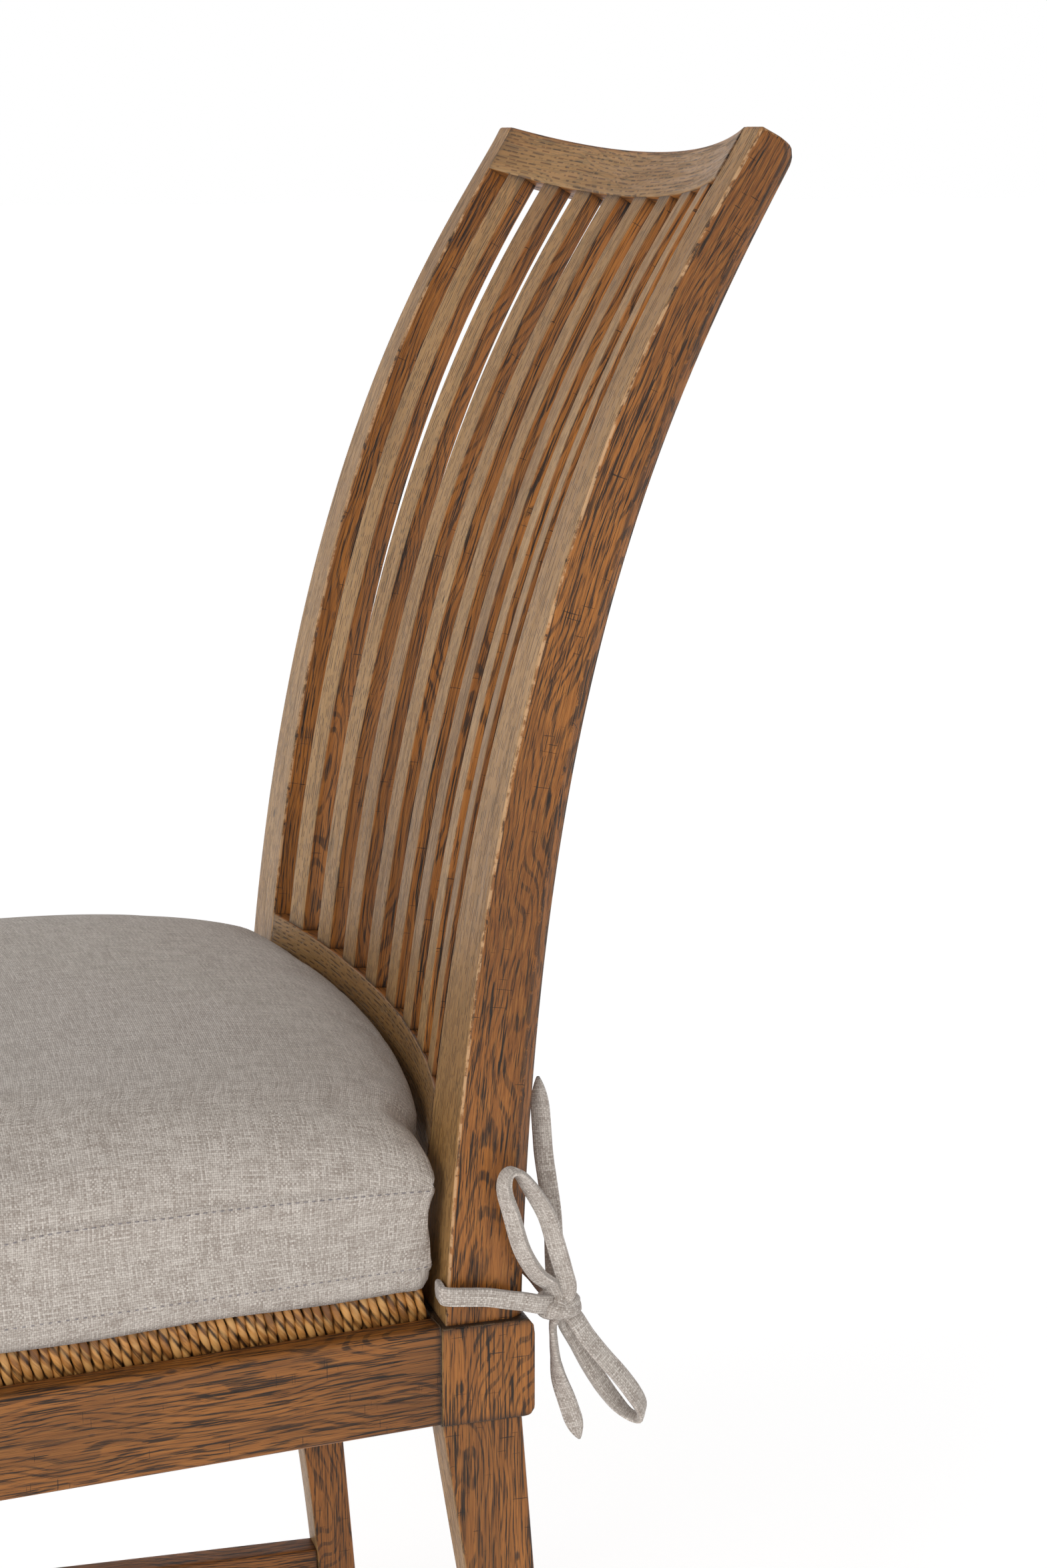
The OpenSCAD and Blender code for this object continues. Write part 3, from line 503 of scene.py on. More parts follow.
def catmull(pts, sub, closed=False):
    """Smooth curve through pts with sub steps from each to the next."""
    p = np.asarray(pts, float)
    n = len(p)
    out = []
    for i in range(n if closed else n - 1):
        if closed:
            a, b, c, d = p[(i - 1) % n], p[i], p[(i + 1) % n], p[(i + 2) % n]
        else:
            b, c = p[i], p[i + 1]
            a = p[i - 1] if i else 2 * b - c
            d = p[i + 2] if i + 2 < n else 2 * c - b
        out += [between(a, b, c, d, k / sub) for k in range(sub)]
    if not closed:
        out.append(p[-1])
    return np.array(out)


def unit(v):
    return v / norm(v)


TIE_AT = np.array([POST_OUT, POST_Y, RAIL_Z])
KNOT = np.array([-7.0, 60, 52])
# route points as in part.scad, with the turn of the tape's width about its length: 0 is towards X and
# 90 square to X; along the strap, which is the first part, the width stands upright instead
OUTER = [
    [(-11, 1.1, 66), (-7, 1, 66.3), (-3, 0.6, 66.5), (0.6, 0.6, 66.5), (3, 3.2, 66.5), (3.4, 12, 65.5),
     (3, 22, 64), (3, 32, 61.5), (2, 41, 59), (0, 49, 56)],
    [(-3, 55, 64), (0, 52, 67), (2, 46, 73), (5, 38, 87), (8, 32, 106), (10, 28, 119), (11, 29, 127),
     (11, 34, 128), (9, 42, 117), (6, 50, 103), (4, 55, 88), (1, 60, 72), (-2, 63, 61)],
    [(-8, 58, 42), (-7, 58, 34), (-7, 59, 24), (-7, 61, 13), (-7, 65, 1), (-8, 69, -11), (-9, 72, -20)]]
OUTER_TURN = [[90] * 10, [50, 50, 50, 48, 42, 28, 10, -14, -44, -60, -66, -68, -68],
              [14, 10, 0, -34, -66, -72, -74]]
INNER = [
    [(-57, 9, 77), (-57, 16, 76), (-57, 25, 73), (-57, 34, 69), (-54, 44, 65),
     (-46, 51, 62), (-36, 55, 59), (-26, 57, 56), (-17, 59, 54)],
    [(-4, 67, 46), (-2, 73, 36), (-1, 81, 25), (0, 89, 15), (0, 96, 5), (-1, 101, -4), (-3, 101, -10),
     (-6, 97, -10), (-9, 91, -4), (-10, 84, 6), (-10, 77, 18), (-10, 71, 30), (-9, 65, 41)],
    [(-14, 61, 60), (-16, 61, 71), (-17, 61, 84), (-17, 60, 97), (-17, 58, 111), (-17, 56, 125),
     (-17, 55, 138), (-17, 54, 152), (-17, 53, 164)]]
INNER_TURN = [[90] * 9, [66, 68, 68, 68, 64, 44, 14, -14, -46, -64, -68, -68, -68],
              [40, 50, 58, 64, 66, 66, 64, 60, 56]]


def tape_section(w, t):
    """Flat tape with rounded edges and a shallow groove along each row of stitching."""
    half = [(-w / 2, 0), (-w / 2 + 0.35, 0.72), (-w / 2 + 1.1, 1.0), (-w / 2 + 1.7, 0.86),
            (-w / 2 + 2.3, 1.04), (0, 1.12), (w / 2 - 1.2, 1.04), (w / 2 - 0.4, 0.78)]
    up = [(x, y * t / 2) for x, y in half]
    return up + [(-x, -y) for x, y in up]


def tie(name, parts, turns, nodes, mirror):
    """One tape along its parts, passing through the knot between them."""
    pts, ang, strap = [], [], []
    for k, (p, a) in enumerate(zip(parts, turns)):
        if k:
            pts.append(tuple(KNOT * 0.75 + 0.25 * (np.array(parts[k - 1][-1]) + np.array(p[0])) / 2))
            ang.append((turns[k - 1][-1] + a[0]) / 2)
            strap.append(0.0)
        pts += p
        ang += a
        strap += [1.0 if k == 0 else 0.0] * len(p)
    sub = 5
    path = catmull(pts, sub) + TIE_AT
    turn = np.interp(np.arange(len(path)) / sub, range(len(ang)), ang)
    is_strap = np.interp(np.arange(len(path)) / sub, range(len(strap)), strap)
    sec = tape_section(TAPE_W, TAPE_T)
    v, c = [], []
    run = 0.0
    prev = None
    for i, p in enumerate(path):
        t = unit(path[min(i + 1, len(path) - 1)] - path[max(i - 1, 0)])
        if i:
            run += norm(p - path[i - 1])
        plane = unit(np.cross(t, X))
        side = unit(X - t * (X @ t))
        a = math.radians(turn[i])
        w = side * math.cos(a) + plane * math.sin(a)
        up = unit(Z - t * t[2]) if abs(t[2]) < 0.95 else w
        if up @ w < 0:
            up = -up
        w = unit(w * (1 - is_strap[i]) + up * is_strap[i])
        w = unit(w - t * (w @ t))
        if prev is not None and w @ prev < 0:
            w = -w
        prev = w
        h = np.cross(t, w)
        k = (0.55, 0.85, 1.0)[min(i, len(path) - 1 - i, 2)]
        tip = (0.15, 0.38, 0.56, 0.72, 0.84, 0.93, 0.98, 1.0)[min(len(path) - 1 - i, 7)]
        for x, y in sec:
            v.append(p + w * x * (0.9 + 0.1 * k) * tip + h * y * k)
            c.append((run / 1000, (x + (9 if y > 0 else -9)) / 1000, 0))
    v, f = np.array(v), tube_faces(0, len(path), len(sec))
    if mirror:
        v, path, f = v * [-1, 1, 1], path * [-1, 1, 1], flipped(f)
    ob = new_mesh(name, v, f, LINEN, {"weave": c})
    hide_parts(*nodes)
    length = float(norm(np.diff(path, axis=0), axis=1).sum()) / 1000


def knot(name, node, mirror):
    """The bow's knot: three bands of tape wrapped over each other."""
    bands = [  # axis the band goes round, half sizes across and along, width, lift, start
        ((0.1, 0.70, -0.4), 6.4, 5.8, 9.0, 0.0, 0.0),
        ((0.15, -0.3, 0.9), 6.2, 9.4, 8.0, 0.2, 1.0),
        ((0.1, 0.28, 0.95), 6.8, 9.6, 7.5, 0.9, 2.4)]
    v, f, c = [], [], []
    for axis, ra, rb, width, lift, ph in bands:
        ax = unit(np.array(axis))
        e1 = unit(np.cross(ax, Z if abs(ax[2]) < 0.8 else Y))
        e2 = np.cross(ax, e1)
        sec = tape_section(width, 3.0)
        m, base = 36, len(v)
        for i in range(m):
            a = 2 * math.pi * i / m
            rad = unit(e1 * math.cos(a) + e2 * math.sin(a))
            at = e1 * ra * math.cos(a) + e2 * rb * math.sin(a) + rad * lift
            at = at + ax * 1.2 * math.sin(a + ph)
            for x, y in sec:
                sag = 1 - 0.05 * x * x / 4
                v.append(TIE_AT + KNOT + at * sag + ax * x * 0.92 + rad * y)
                c.append((a * 9 / 1000, (x + 40 * (1 + ph)) / 1000, 0))
        f += tube_faces(base, m, len(sec), closed=True)
    v = np.array(v)
    if mirror:
        v = v * [-1, 1, 1]
    else:
        f = flipped(f)
    ob = new_mesh(name, v, f, LINEN, {"weave": c})
    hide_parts(node)
    return ob


for side, mir in SIDES:
    k = knot(f"knot_{side}", f"tie_knot_{side}", mir)
    tie(f"tape_{side}_outer", OUTER, OUTER_TURN, [f"tie_{side}_outer"], mir)
    tie(f"tape_{side}_inner", INNER, INNER_TURN, [f"tie_{side}_inner"], mir)


# ---- posts ------------------------------------------------------------
def leg_rear(z):
    """Rear face of a post below its stile."""
    return LEG_DEPTH + (z / FOOT_Z) * LEG_RAKE if z < 0 else LEG_DEPTH


def stile_depth(z):
    """Depth of a post square to its front face at height z on that face."""
    a, y = lean(z), bez_y(STILE_FRONT, z)
    lo, hi = 5.0, 70.0
    for _ in range(30):
        m = (lo + hi) / 2
        zz = z - m * math.sin(a)
        rear = bez_y(STILE_REAR, zz) if zz > 0 else leg_rear(zz)
        lo, hi = (m, hi) if y + m * math.cos(a) < rear else (lo, m)
    return lo


def post(side, mirror):
    w = Wood()
    foot, top = 48, STILE_H

    def place(s):
        z = min(s, top)
        a = lean(z)
        return (np.array([0, POST_Y + bez_y(STILE_FRONT, z), RAIL_Z + z]), X,
                np.array([0, math.cos(a), -math.sin(a)]))

    def section(s):
        z = min(s, top)
        k = z / STILE_H
        x0, x1 = in_x(z), POST_OUT + (TOP_OUT - POST_OUT) * k
        d = stile_depth(z)
        e = top - s
        r = 8.0
        if e < r:
            d -= r * (1 - math.sqrt(max(0, 1 - ((r - e) / r) ** 2)))
        ch = 6.5 - 1.5 * k
        return [(x0, 0), (x1, 0), (x1, d - ch), (x1 - 0.62 * ch, d), (x0 + 0.62 * ch, d), (x0, d - ch)]

    stations = [foot + (top - 10 - foot) * i / 56 for i in range(57)] + [top - 7, top - 5.5, top - 4.2, top]
    w.loft(place, stations, section, [1.0, 1.0, 1.2, 1.2, 1.2, 1.2], cap=1.6, dirt=(1, 0),
           marks=[1, 1, -1, -1, -1, -1])

    def flat(s):
        return np.array([0, POST_Y, RAIL_Z + s]), X, Y

    def block(s):
        d = 46.0
        if s < 5:
            d -= 5 * (1 - math.sqrt(max(0, 1 - ((5 - s) / 5) ** 2)))
        if s > 44:
            d -= 4 * ((s - 44) / 6) ** 2
        return rect(POST_IN, 222, 0, d)

    w.loft(flat, [0, 1.6, 2.6, 3.8, 5.5, 12, 20, 28, 36, 42, 45.8, RAIL_H], block, [1.1] * 4, cap=1.2,
           dirt=(1, 1), marks=[0.4, 0.7, 0.4, 0.4])

    def leg(z):
        front = bez_y(LEG_FRONT, z) if z < 0 else 0.0
        k = max(0, z / FOOT_Z)
        return rect(POST_OUT - 25 + 3 * k, POST_OUT, front + 0.2, leg_rear(z))

    w.loft(flat, [FOOT_Z + (3 - FOOT_Z) * i / 44 for i in range(45)], leg, [1.6] * 4, cap=1.6, dirt=(0.3, 1),
           marks=[0.4, 0.7, 0.4, 0.4], tone=0.88)
    return w.make(f"post_{side}", OAK, [f"rear_post_{side}"], mirror)


for side, mir in SIDES:
    post(side, mir)


# ---- bowed rails and slats --------------------------------------------
def tilt(a, z):
    """Origin and axes of a frame on the sloping back: x across, y through and z up the slope."""
    o = np.array([0, POST_Y + (SWEEP if z >= STILE_H else bez_y(STILE_FRONT, z)), RAIL_Z + z])
    return o, np.array([0, math.cos(a), -math.sin(a)]), np.array([0, math.sin(a), math.cos(a)])


def bowed(name, node, half, rise, height, thick, angle, z, rad):
    w = Wood()
    o, v, up = tilt(angle, z)

    def place(s):
        return o + X * s + v * bow(half, rise, max(-half, min(half, s))), v, up

    n = 48
    w.loft(place, [-half + 2 * half * i / n for i in range(n + 1)],
           lambda s: rect(0, thick, -height, 0), rad, cap=0.8, dirt=(0.8, 0.8), marks=[0.4] * 4,
           tone=0.9)
    return w.make(name, OAK, [node])


bowed("crest", "crest_rail", CREST_HALF, CREST_RISE, CREST_H, CREST_T, CREST_LEAN, STILE_H,
      [1.2, 1.6, 2.2, 1.5])
bowed("low_rail", "lower_back_rail", LOWER_HALF, LOWER_RISE, LOWER_H, LOWER_T, LOWER_LEAN, LOWER_TOP,
      [1.2] * 4)

SLAT_END = STILE_H - CREST_H * math.cos(CREST_LEAN)
SLAT_RUN = 440


def slat(i):
    w = Wood()
    gaps = SLAT_COUNT + 1
    xl, xt = ((i - gaps / 2) * ((2 * half + SLAT_W) / gaps) for half in (LOWER_HALF, CREST_HALF))

    def turn(half, rise, x):
        return -math.asin(x / ((half * half + rise * rise) / (2 * rise)))

    tl, tt = turn(LOWER_HALF, LOWER_RISE, xl), turn(CREST_HALF, CREST_RISE, xt)
    bl, bt = bow(LOWER_HALF, LOWER_RISE, xl), bow(CREST_HALF, CREST_RISE, xt)

    def place(s):
        k = s / SLAT_RUN
        z = LOWER_TOP + (SLAT_END - LOWER_TOP) * k
        a, t = lean(z), tl + (tt - tl) * k
        back, b = np.array([0, math.cos(a), -math.sin(a)]), bl + (bt - bl) * k
        o = np.array([xl + (xt - xl) * k, POST_Y + bez_y(STILE_FRONT, z), RAIL_Z + z]) + back * b
        return o, X * math.cos(t) + back * math.sin(t), back * math.cos(t) - X * math.sin(t)

    def section(s):
        return rect(-SLAT_W / 2, SLAT_W / 2, 0, SLAT_FOOT_T + (SLAT_TOP_T - SLAT_FOOT_T) * s / SLAT_RUN)

    w.loft(place, [SLAT_RUN * j / 40 for j in range(41)], section, [0.8] * 4, cap=0.3, dirt=(0.9, 0.9),
           marks=[0.4] * 4)
    return w.make(f"slat_{i}", OAK, [f"back_slat_{i}"])


for i in range(1, SLAT_COUNT + 1):
    slat(i)


# ---- seat rails, legs and stretchers ----------------------------------
def straight(w, a, b, section, radii, cap=1.0, dirt=(0.8, 0.8), steps=10, up=Z, marks=None):
    """A straight bar from a to b with a constant section: x to its right, y up."""
    a, b = np.array(a, float), np.array(b, float)
    t = unit(b - a)
    side = np.cross(t, up)
    length = norm(b - a)
    w.loft(lambda s: (a + t * s, side, up), [length * i / steps for i in range(steps + 1)],
           section if callable(section) else (lambda s: section), radii, cap=cap, dirt=dirt,
           marks=marks or [0.5] * len(radii), tone=0.77)


def bar(name, node, *args, mirror=False, **kw):
    """A piece that is one straight bar."""
    w = Wood()
    straight(w, *args, **kw)
    w.make(name, OAK, [node], mirror)


def rail_section(lip, shelf):
    """A seat rail's section: an outer lip of full height and a lower shelf that carries the seat."""
    return [(-shelf, 0), (-shelf, LEDGE_Z), (-lip, LEDGE_Z), (-lip, RAIL_H), (0, RAIL_H), (0, 0)]


LEG_W, LEDGE_Z = 44, 40
LEG_REAR_Y = FRONT_Y + LEG_W
FRONT_IN = FRONT_OUT - LEG_W
RAIL, STRETCHER = rail_section(14, 27), rect(-STRETCHER_HALF, STRETCHER_HALF, 0, STRETCHER_H)


def rail_x(y):
    """Outer face of a side rail at y."""
    return 249.2 - (y - FRONT_Y) * SPLAY


for side, mir in SIDES:
    bar(f"side_rail_wood_{side}", f"side_rail_{side}", (rail_x(LEG_REAR_Y), LEG_REAR_Y - 1, RAIL_Z),
        (rail_x(POST_Y), POST_Y - 0.1, RAIL_Z), RAIL, [1.0, 1.0, 1.0, 2.0, 2.6, 1.6], cap=0.7,
        dirt=(1, 1), steps=14, marks=[0.45] * 6, mirror=mir)
bar("front_rail_wood", "front_rail", (-FRONT_IN - 1, FRONT_Y + 2, RAIL_Z),
    (FRONT_IN + 1, FRONT_Y + 2, RAIL_Z), RAIL, [1.0, 1.0, 1.0, 2.0, 2.6, 1.6], cap=0.7, steps=14)
bar("rear_rail_wood", "rear_rail", (POST_IN + 1, POST_Y + 34, RAIL_Z), (-POST_IN - 1, POST_Y + 34, RAIL_Z),
    rail_section(20, 34), [1.0, 1.0, 1.0, 2.0, 2.0, 1.6], cap=0.7, steps=14)


def leg_width(s):
    """Width of a front leg at s above its foot."""
    return 30 + (LEG_W - 30) * min(1, s / 371)


a = np.array([233.0, FRONT_Y + 33, STRETCHER_Z])
b = np.array([POST_OUT - 11.5, POST_Y + 40, STRETCHER_Z])
for side, mir in SIDES:
    w = Wood()
    w.loft(lambda s: (np.array([FRONT_OUT, FRONT_Y, 4 + s]), X, Y), [431 * i / 40 for i in range(41)],
           lambda s: rect(-leg_width(s), 0, 0, leg_width(s)), [1.8, 2.4, 1.8, 1.8], cap=1.6,
           dirt=(0.3, 0), tone=0.8)
    w.loft(lambda s: (np.array([FRONT_OUT, FRONT_Y, 434 + s]), X, Y), [0, 3, 7, 11],
           lambda s: [(-LEG_W, 0), (0, 0), (0, LEG_W), (-15.5, LEG_W), (-15.5, 16), (-LEG_W, 16)],
           [1.4, 2.4, 1.4, 1.2, 1.2, 1.2], cap=1.4, tone=0.8)
    w.make(f"front_leg_wood_{side}", OAK, [f"front_leg_{side}"], mir)
    bar(f"side_stretcher_wood_{side}", f"side_stretcher_{side}", a - unit(b - a) * 4,
        b - unit(b - a) * 1.5, STRETCHER, [1.8] * 4, steps=16, mirror=mir)
cross, middle = (a[0] + b[0]) / 2 - 8, (a[1] + b[1]) / 2
bar("cross_stretcher_wood", "cross_stretcher", (cross, middle, STRETCHER_Z), (-cross, middle, STRETCHER_Z),
    STRETCHER, [1.8] * 4, steps=16)


# ---- rush seat --------------------------------------------------------
def seat_x(y):
    """Half width of the drop-in seat at y."""
    return rail_x(y) - 15.5 * math.sqrt(1 + SPLAY * SPLAY)


def rush_seat():
    half_t = 15.5
    zc = 435.2 + half_t
    front, side_end, back = FRONT_Y + 17.5, POST_Y - 1.5, POST_Y + 12.5
    thick, pitch, twist = 2.4, 4.6, 20.0
    V, F, C, D = [], [], [], []
    sides = 10

    def cord(edge, inward, reach, seed):
        """One cord from the top's inner end, over the edge and back along the underside."""
        cr_rand = random.Random(seed)
        rad = half_t - thick
        path = []
        reach = max(reach, 10.0)
        xs = np.arange(reach, 11, -(6.0))
        for x in xs:
            path.append((x, rad))
        bends = 12
        for k in range(bends + 1):
            a = math.pi / 2 - math.pi * k / bends
            cx = 10 - 10 * math.cos(a) ** 0.75 if abs(math.cos(a)) > 1e-6 else 10
            path.append((cx + thick - 1.2, rad * math.copysign(abs(math.sin(a)) ** 0.8, math.sin(a))))
        for x in xs[::-1]:
            path.append((x, -rad))
        pts = []
        lift = cr_rand.uniform(-0.35, 0.35)
        for x, z in path:
            sag = 1.6 * math.sin(min(1, max(0, (x - 10) / max(reach - 10, 1))) * math.pi) if x > 10 else 0
            zz = z + (lift if z > 0 else -lift)
            zz -= math.copysign(sag * 0.6, z)
            pts.append(edge + inward * x + Z * (zc + zz))
        pts = np.array(pts)
        # even steps along the cord, closer where it shows
        seg = norm(np.diff(pts, axis=0), axis=1)
        run = np.concatenate([[0], np.cumsum(seg)])
        tot = run[-1]
        step = 2.4
        lo = max(0, run[len(xs)] - 26) if len(xs) else 0
        st = list(np.arange(0, lo, 9.0)) + list(np.arange(lo, tot, step)) + [tot]
        P = np.array([[np.interp(s, run, pts[:, k]) for k in range(3)] for s in st])
        n = len(P)
        T = np.gradient(P, axis=0)
        T /= norm(T, axis=1)[:, None]
        side = np.cross(inward, Z)
        N = np.cross(T, side)
        P = P - side * (2.2 * (P[:, 2:] - zc) / rad)
        ph0 = cr_rand.uniform(0, 6.28)
        base = len(V)
        wob = cr_rand.uniform(-0.25, 0.25)
        for i in range(n):
            ph = ph0 + 2 * math.pi * st[i] / twist
            for j in range(sides):
                th = 2 * math.pi * j / sides
                lobe = abs(math.sin(th - ph))
                rr = (thick + 0.1) * (0.76 + 0.26 * lobe ** 0.6)
                V.append(P[i] + (N[i] * math.cos(th) + side * (math.sin(th) * 1.02 + wob * 0.1)) * rr)
                C.append((seed * 0.37, math.sin(th - ph) * 0.003 + 0.01 * (seed % 7), st[i] / 1000))
                # painted shade: darkest in the grooves between the strands and on the sides turned to the
                # neighbouring cords
                D.append(min(1.0, (1 - lobe ** 0.5) * 1.25 + max(0, abs(math.sin(th)) - 0.75) * 1.6))
        F.extend(tube_faces(base, n, sides))

    seed = 1
    sx = seat_x(front)
    n = int((2 * sx - 4) / pitch)
    for i in range(n):
        x = -sx + 2 + (2 * sx - 4) * (i + 0.5) / n
        cord(np.array([x, front, 0]), Y, min(sx - abs(x), (back - front) / 2) - 1, seed)
        seed += 1
    xin = POST_IN - 1.5
    n = int(2 * xin / pitch)
    for i in range(n):
        x = -xin + 2 * xin * (i + 0.5) / n
        cord(np.array([x, back, 0]), -Y, min(xin - abs(x) + 26, (back - front) / 2) - 1, seed)
        seed += 1
    n = int((side_end - front - 4) / pitch)
    dir_l = unit(np.array([-1, -SPLAY, 0]))
    for sgn in (1, -1):
        inward = dir_l * [sgn, 1, 1]
        for i in range(n):
            y = front + 3 + (side_end - front - 5) * (i + 0.5) / n
            reach = min(y - front, side_end - y + 12, 205)
            cord(np.array([sgn * seat_x(y), y, 0]), inward, reach, seed)
            seed += 1
    ob = new_mesh("rush_weave", V, F, RUSH, {"strand": C, "painted_groove_shade": D})
    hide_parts("rush_top", "rush_underside")


rush_seat()


# ---- cushion ----------------------------------------------------------
ACROSS, ALONG, ROWS = 54, 46, 6
CELL, ROW_H = 8.0, 6.6
Z_LOW, Z_MID, Z_SEAM, CROWN = 466.6, 469.5, 514.5, 40.0
PAD_FRONT, PAD_REAR, PAD_OVER = FRONT_Y + 10.0, POST_Y - 0.8, 7.5
BETWEEN_POSTS = POST_IN - 4
PANEL = (ACROSS + 1) * (ALONG + 1)
LOOP = [(i, 0) for i in range(ACROSS)] + [(ACROSS, j) for j in range(ALONG)]
LOOP += [(i, ALONG) for i in range(ACROSS, 0, -1)] + [(0, j) for j in range(ALONG, 0, -1)]


def resample(A, us, axis):
    """Catmull-Rom interpolation of A along an axis at fractional places us."""
    A = np.moveaxis(A, axis, 0)
    n = A.shape[0]
    ext = np.concatenate([[2 * A[0] - A[1]], A, [2 * A[-1] - A[-2]]])
    out = []
    for u in us:
        i = min(int(u), n - 2)
        out.append(between(*ext[i:i + 4], u - i))
    return np.moveaxis(np.array(out), 0, axis)


def fine(n, sub):
    """Places along n cells, sub to a cell and closer beside the seams at both ends."""
    us = [0, 0.12, 0.26, 0.5] + [k / sub for k in range(sub, n * sub - sub + 1)]
    return us + [n - 0.5, n - 0.26, n - 0.12, n]


SUB = 3
UM, UN = fine(ACROSS, SUB), fine(ALONG, SUB)
UR = [0, 0.15, 0.32, 0.6] + [k / 2 for k in range(2, 2 * ROWS - 1)]
UR += [ROWS - 0.6, ROWS - 0.32, ROWS - 0.15, ROWS]


def grid(value):
    """value(i, j) at every corner of a panel's cells."""
    return np.array([[value(i, j) for j in range(ALONG + 1)] for i in range(ACROSS + 1)])


def pad_plan(i, j):
    """A panel's corner seen from above: splayed sides, round corners, bulging back between the posts."""
    u, v = 2 * i / ACROSS - 1, j / ALONG
    x_rear = u * (seat_x(PAD_REAR) + PAD_OVER)
    k = min(1, max(0, (BETWEEN_POSTS + 3 - abs(x_rear)) / 6))
    y_rear = PAD_REAR + k * (7 + 17 * (1 - min(1, (x_rear / BETWEEN_POSTS) ** 2)))
    y = PAD_FRONT + v * (y_rear - PAD_FRONT)
    x = u * (seat_x(min(y, PAD_REAR)) + PAD_OVER)
    for cy, rad, sgn in ((PAD_FRONT, 13.0, -1), (PAD_REAR, 5.0, 1)):
        cx = seat_x(cy) + PAD_OVER
        dx, dy = abs(x) - (cx - rad), sgn * (y - (cy - sgn * rad))
        if dx > 0 and dy > 0 and (sgn < 0 or abs(x_rear) > BETWEEN_POSTS + 2):
            q = math.hypot(dx, dy)
            if q > rad:
                x = math.copysign(cx - rad + dx * rad / q, x)
                y = cy - sgn * rad + sgn * dy * rad / q
    return x, y


def cushion_panels():
    """The top and bottom panels before the filling swells them."""
    plan = grid(pad_plan)
    rise = grid(lambda i, j: ((1 - abs(2 * i / ACROSS - 1) ** 6) * (1 - abs(2 * j / ALONG - 1) ** 5)) ** 0.5)
    rear_dip = grid(lambda i, j: -6.5 * max(0, (j / ALONG - 0.6) / 0.4) ** 2)
    top = np.dstack([plan, Z_SEAM + CROWN * rise + rear_dip])
    side = grid(lambda i, j: min(i, ACROSS - i, j))
    rear = grid(lambda i, j: ALONG - j)
    # the crown swells back over the rear seam, against the posts and the lower back rail
    top[:, :, 1] += np.interp(rear, [0, 1, 2, 3, 5, 8], [0, 11, 12, 10, 5, 0])
    # the underside droops past the rush's round edge at the sides and the front, then lies on its top
    wave = grid(lambda i, j: math.sin(i * 0.31 + 1) + math.sin(j * 0.43))
    hang = np.interp(side, [0, 1, 2, 3], [Z_MID, Z_LOW - 5.6, Z_LOW - 0.9, Z_LOW])
    hang = hang + np.where(side == 1, wave * 0.6, 0)
    sag = np.maximum(hang, np.interp(rear, [0, 1, 2, 3], [Z_MID, Z_LOW - 1.6, Z_LOW - 0.3, Z_LOW - 9]))
    sag = np.where((side == 1) & (rear > 0), hang, sag)
    low = np.dstack([plan, sag])
    # its two outer rows lie close to its seam
    for k, near in ((2, 0.6), (1, 0.45)):
        for i, j in np.argwhere(np.minimum(side, rear) == k):
            oi = 0 if i == k else ACROSS if i == ACROSS - k else i
            oj = 0 if j == k else ALONG if j == ALONG - k else j
            low[i, j, :2] = plan[oi, oj] + (plan[i, j] - plan[oi, oj]) * near
    return top, low


def top_id(i, j):
    return i * (ALONG + 1) + j


def low_id(i, j):
    return PANEL + top_id(i, j)


def cage(top, low):
    """The closed cover's vertices and faces, and the boxing's rows of vertices from the bottom seam up."""
    verts = list(top.reshape(-1, 3)) + list(low.reshape(-1, 3))
    count = len(LOOP)
    rows = [[low_id(i, j) for i, j in LOOP]]
    for k in range(1, ROWS):
        t = k / ROWS
        rows.append([len(verts) + q for q in range(count)])
        verts += [low[i, j] * (1 - t) + top[i, j] * t for i, j in LOOP]
    rows.append([top_id(i, j) for i, j in LOOP])
    faces = []
    for i in range(ACROSS):
        for j in range(ALONG):
            faces.append((top_id(i, j), top_id(i + 1, j), top_id(i + 1, j + 1), top_id(i, j + 1)))
            faces.append((low_id(i, j), low_id(i, j + 1), low_id(i + 1, j + 1), low_id(i + 1, j)))
    for k in range(ROWS):
        for q in range(count):
            p = (q + 1) % count
            faces.append((rows[k][q], rows[k][p], rows[k + 1][p], rows[k + 1][q]))
    return np.array(verts), faces, rows


def inflate(start, faces):
    """Swell the cover with air pressure and return its vertices' new places."""
    me = bpy.data.meshes.new("cushion_sim")
    me.from_pydata((start / 1000).tolist(), [], faces)
    ob = add_object("cushion_sim", me)
    md = ob.modifiers.new("cloth", "CLOTH")
    s = md.settings
    s.quality = 8
    s.mass = 0.3
    s.tension_stiffness = s.compression_stiffness = 30
    s.shear_stiffness = 12
    s.bending_stiffness = 2.0
    s.tension_damping = s.compression_damping = s.shear_damping = 10
    s.air_damping = 3
    s.use_pressure = True
    s.uniform_pressure_force = 4
    s.effector_weights.gravity = 0
    md.point_cache.frame_start, md.point_cache.frame_end = 1, 20
    for fr in range(1, 21):
        scene.frame_set(fr)
    ev = ob.evaluated_get(bpy.context.evaluated_depsgraph_get())
    co = np.empty(len(start) * 3)
    ev.data.vertices.foreach_get("co", co)
    scene.frame_set(1)
    bpy.data.objects.remove(ob)
    bpy.data.meshes.remove(me)
    return co.reshape(-1, 3) * 1000


def back_limit(x, z):
    """How far back the cushion may reach: to the posts' front faces, or the bowed lower back rail."""
    clear, rail_foot = 1.2, 498
    y = POST_Y + bez_y(STILE_FRONT, max(1, z - RAIL_Z)) - clear
    if abs(x) > LOWER_HALF + 1:
        return y
    return y + bow(LOWER_HALF, LOWER_RISE, min(abs(x), LOWER_HALF)) * (1 if z > rail_foot else 0.9)


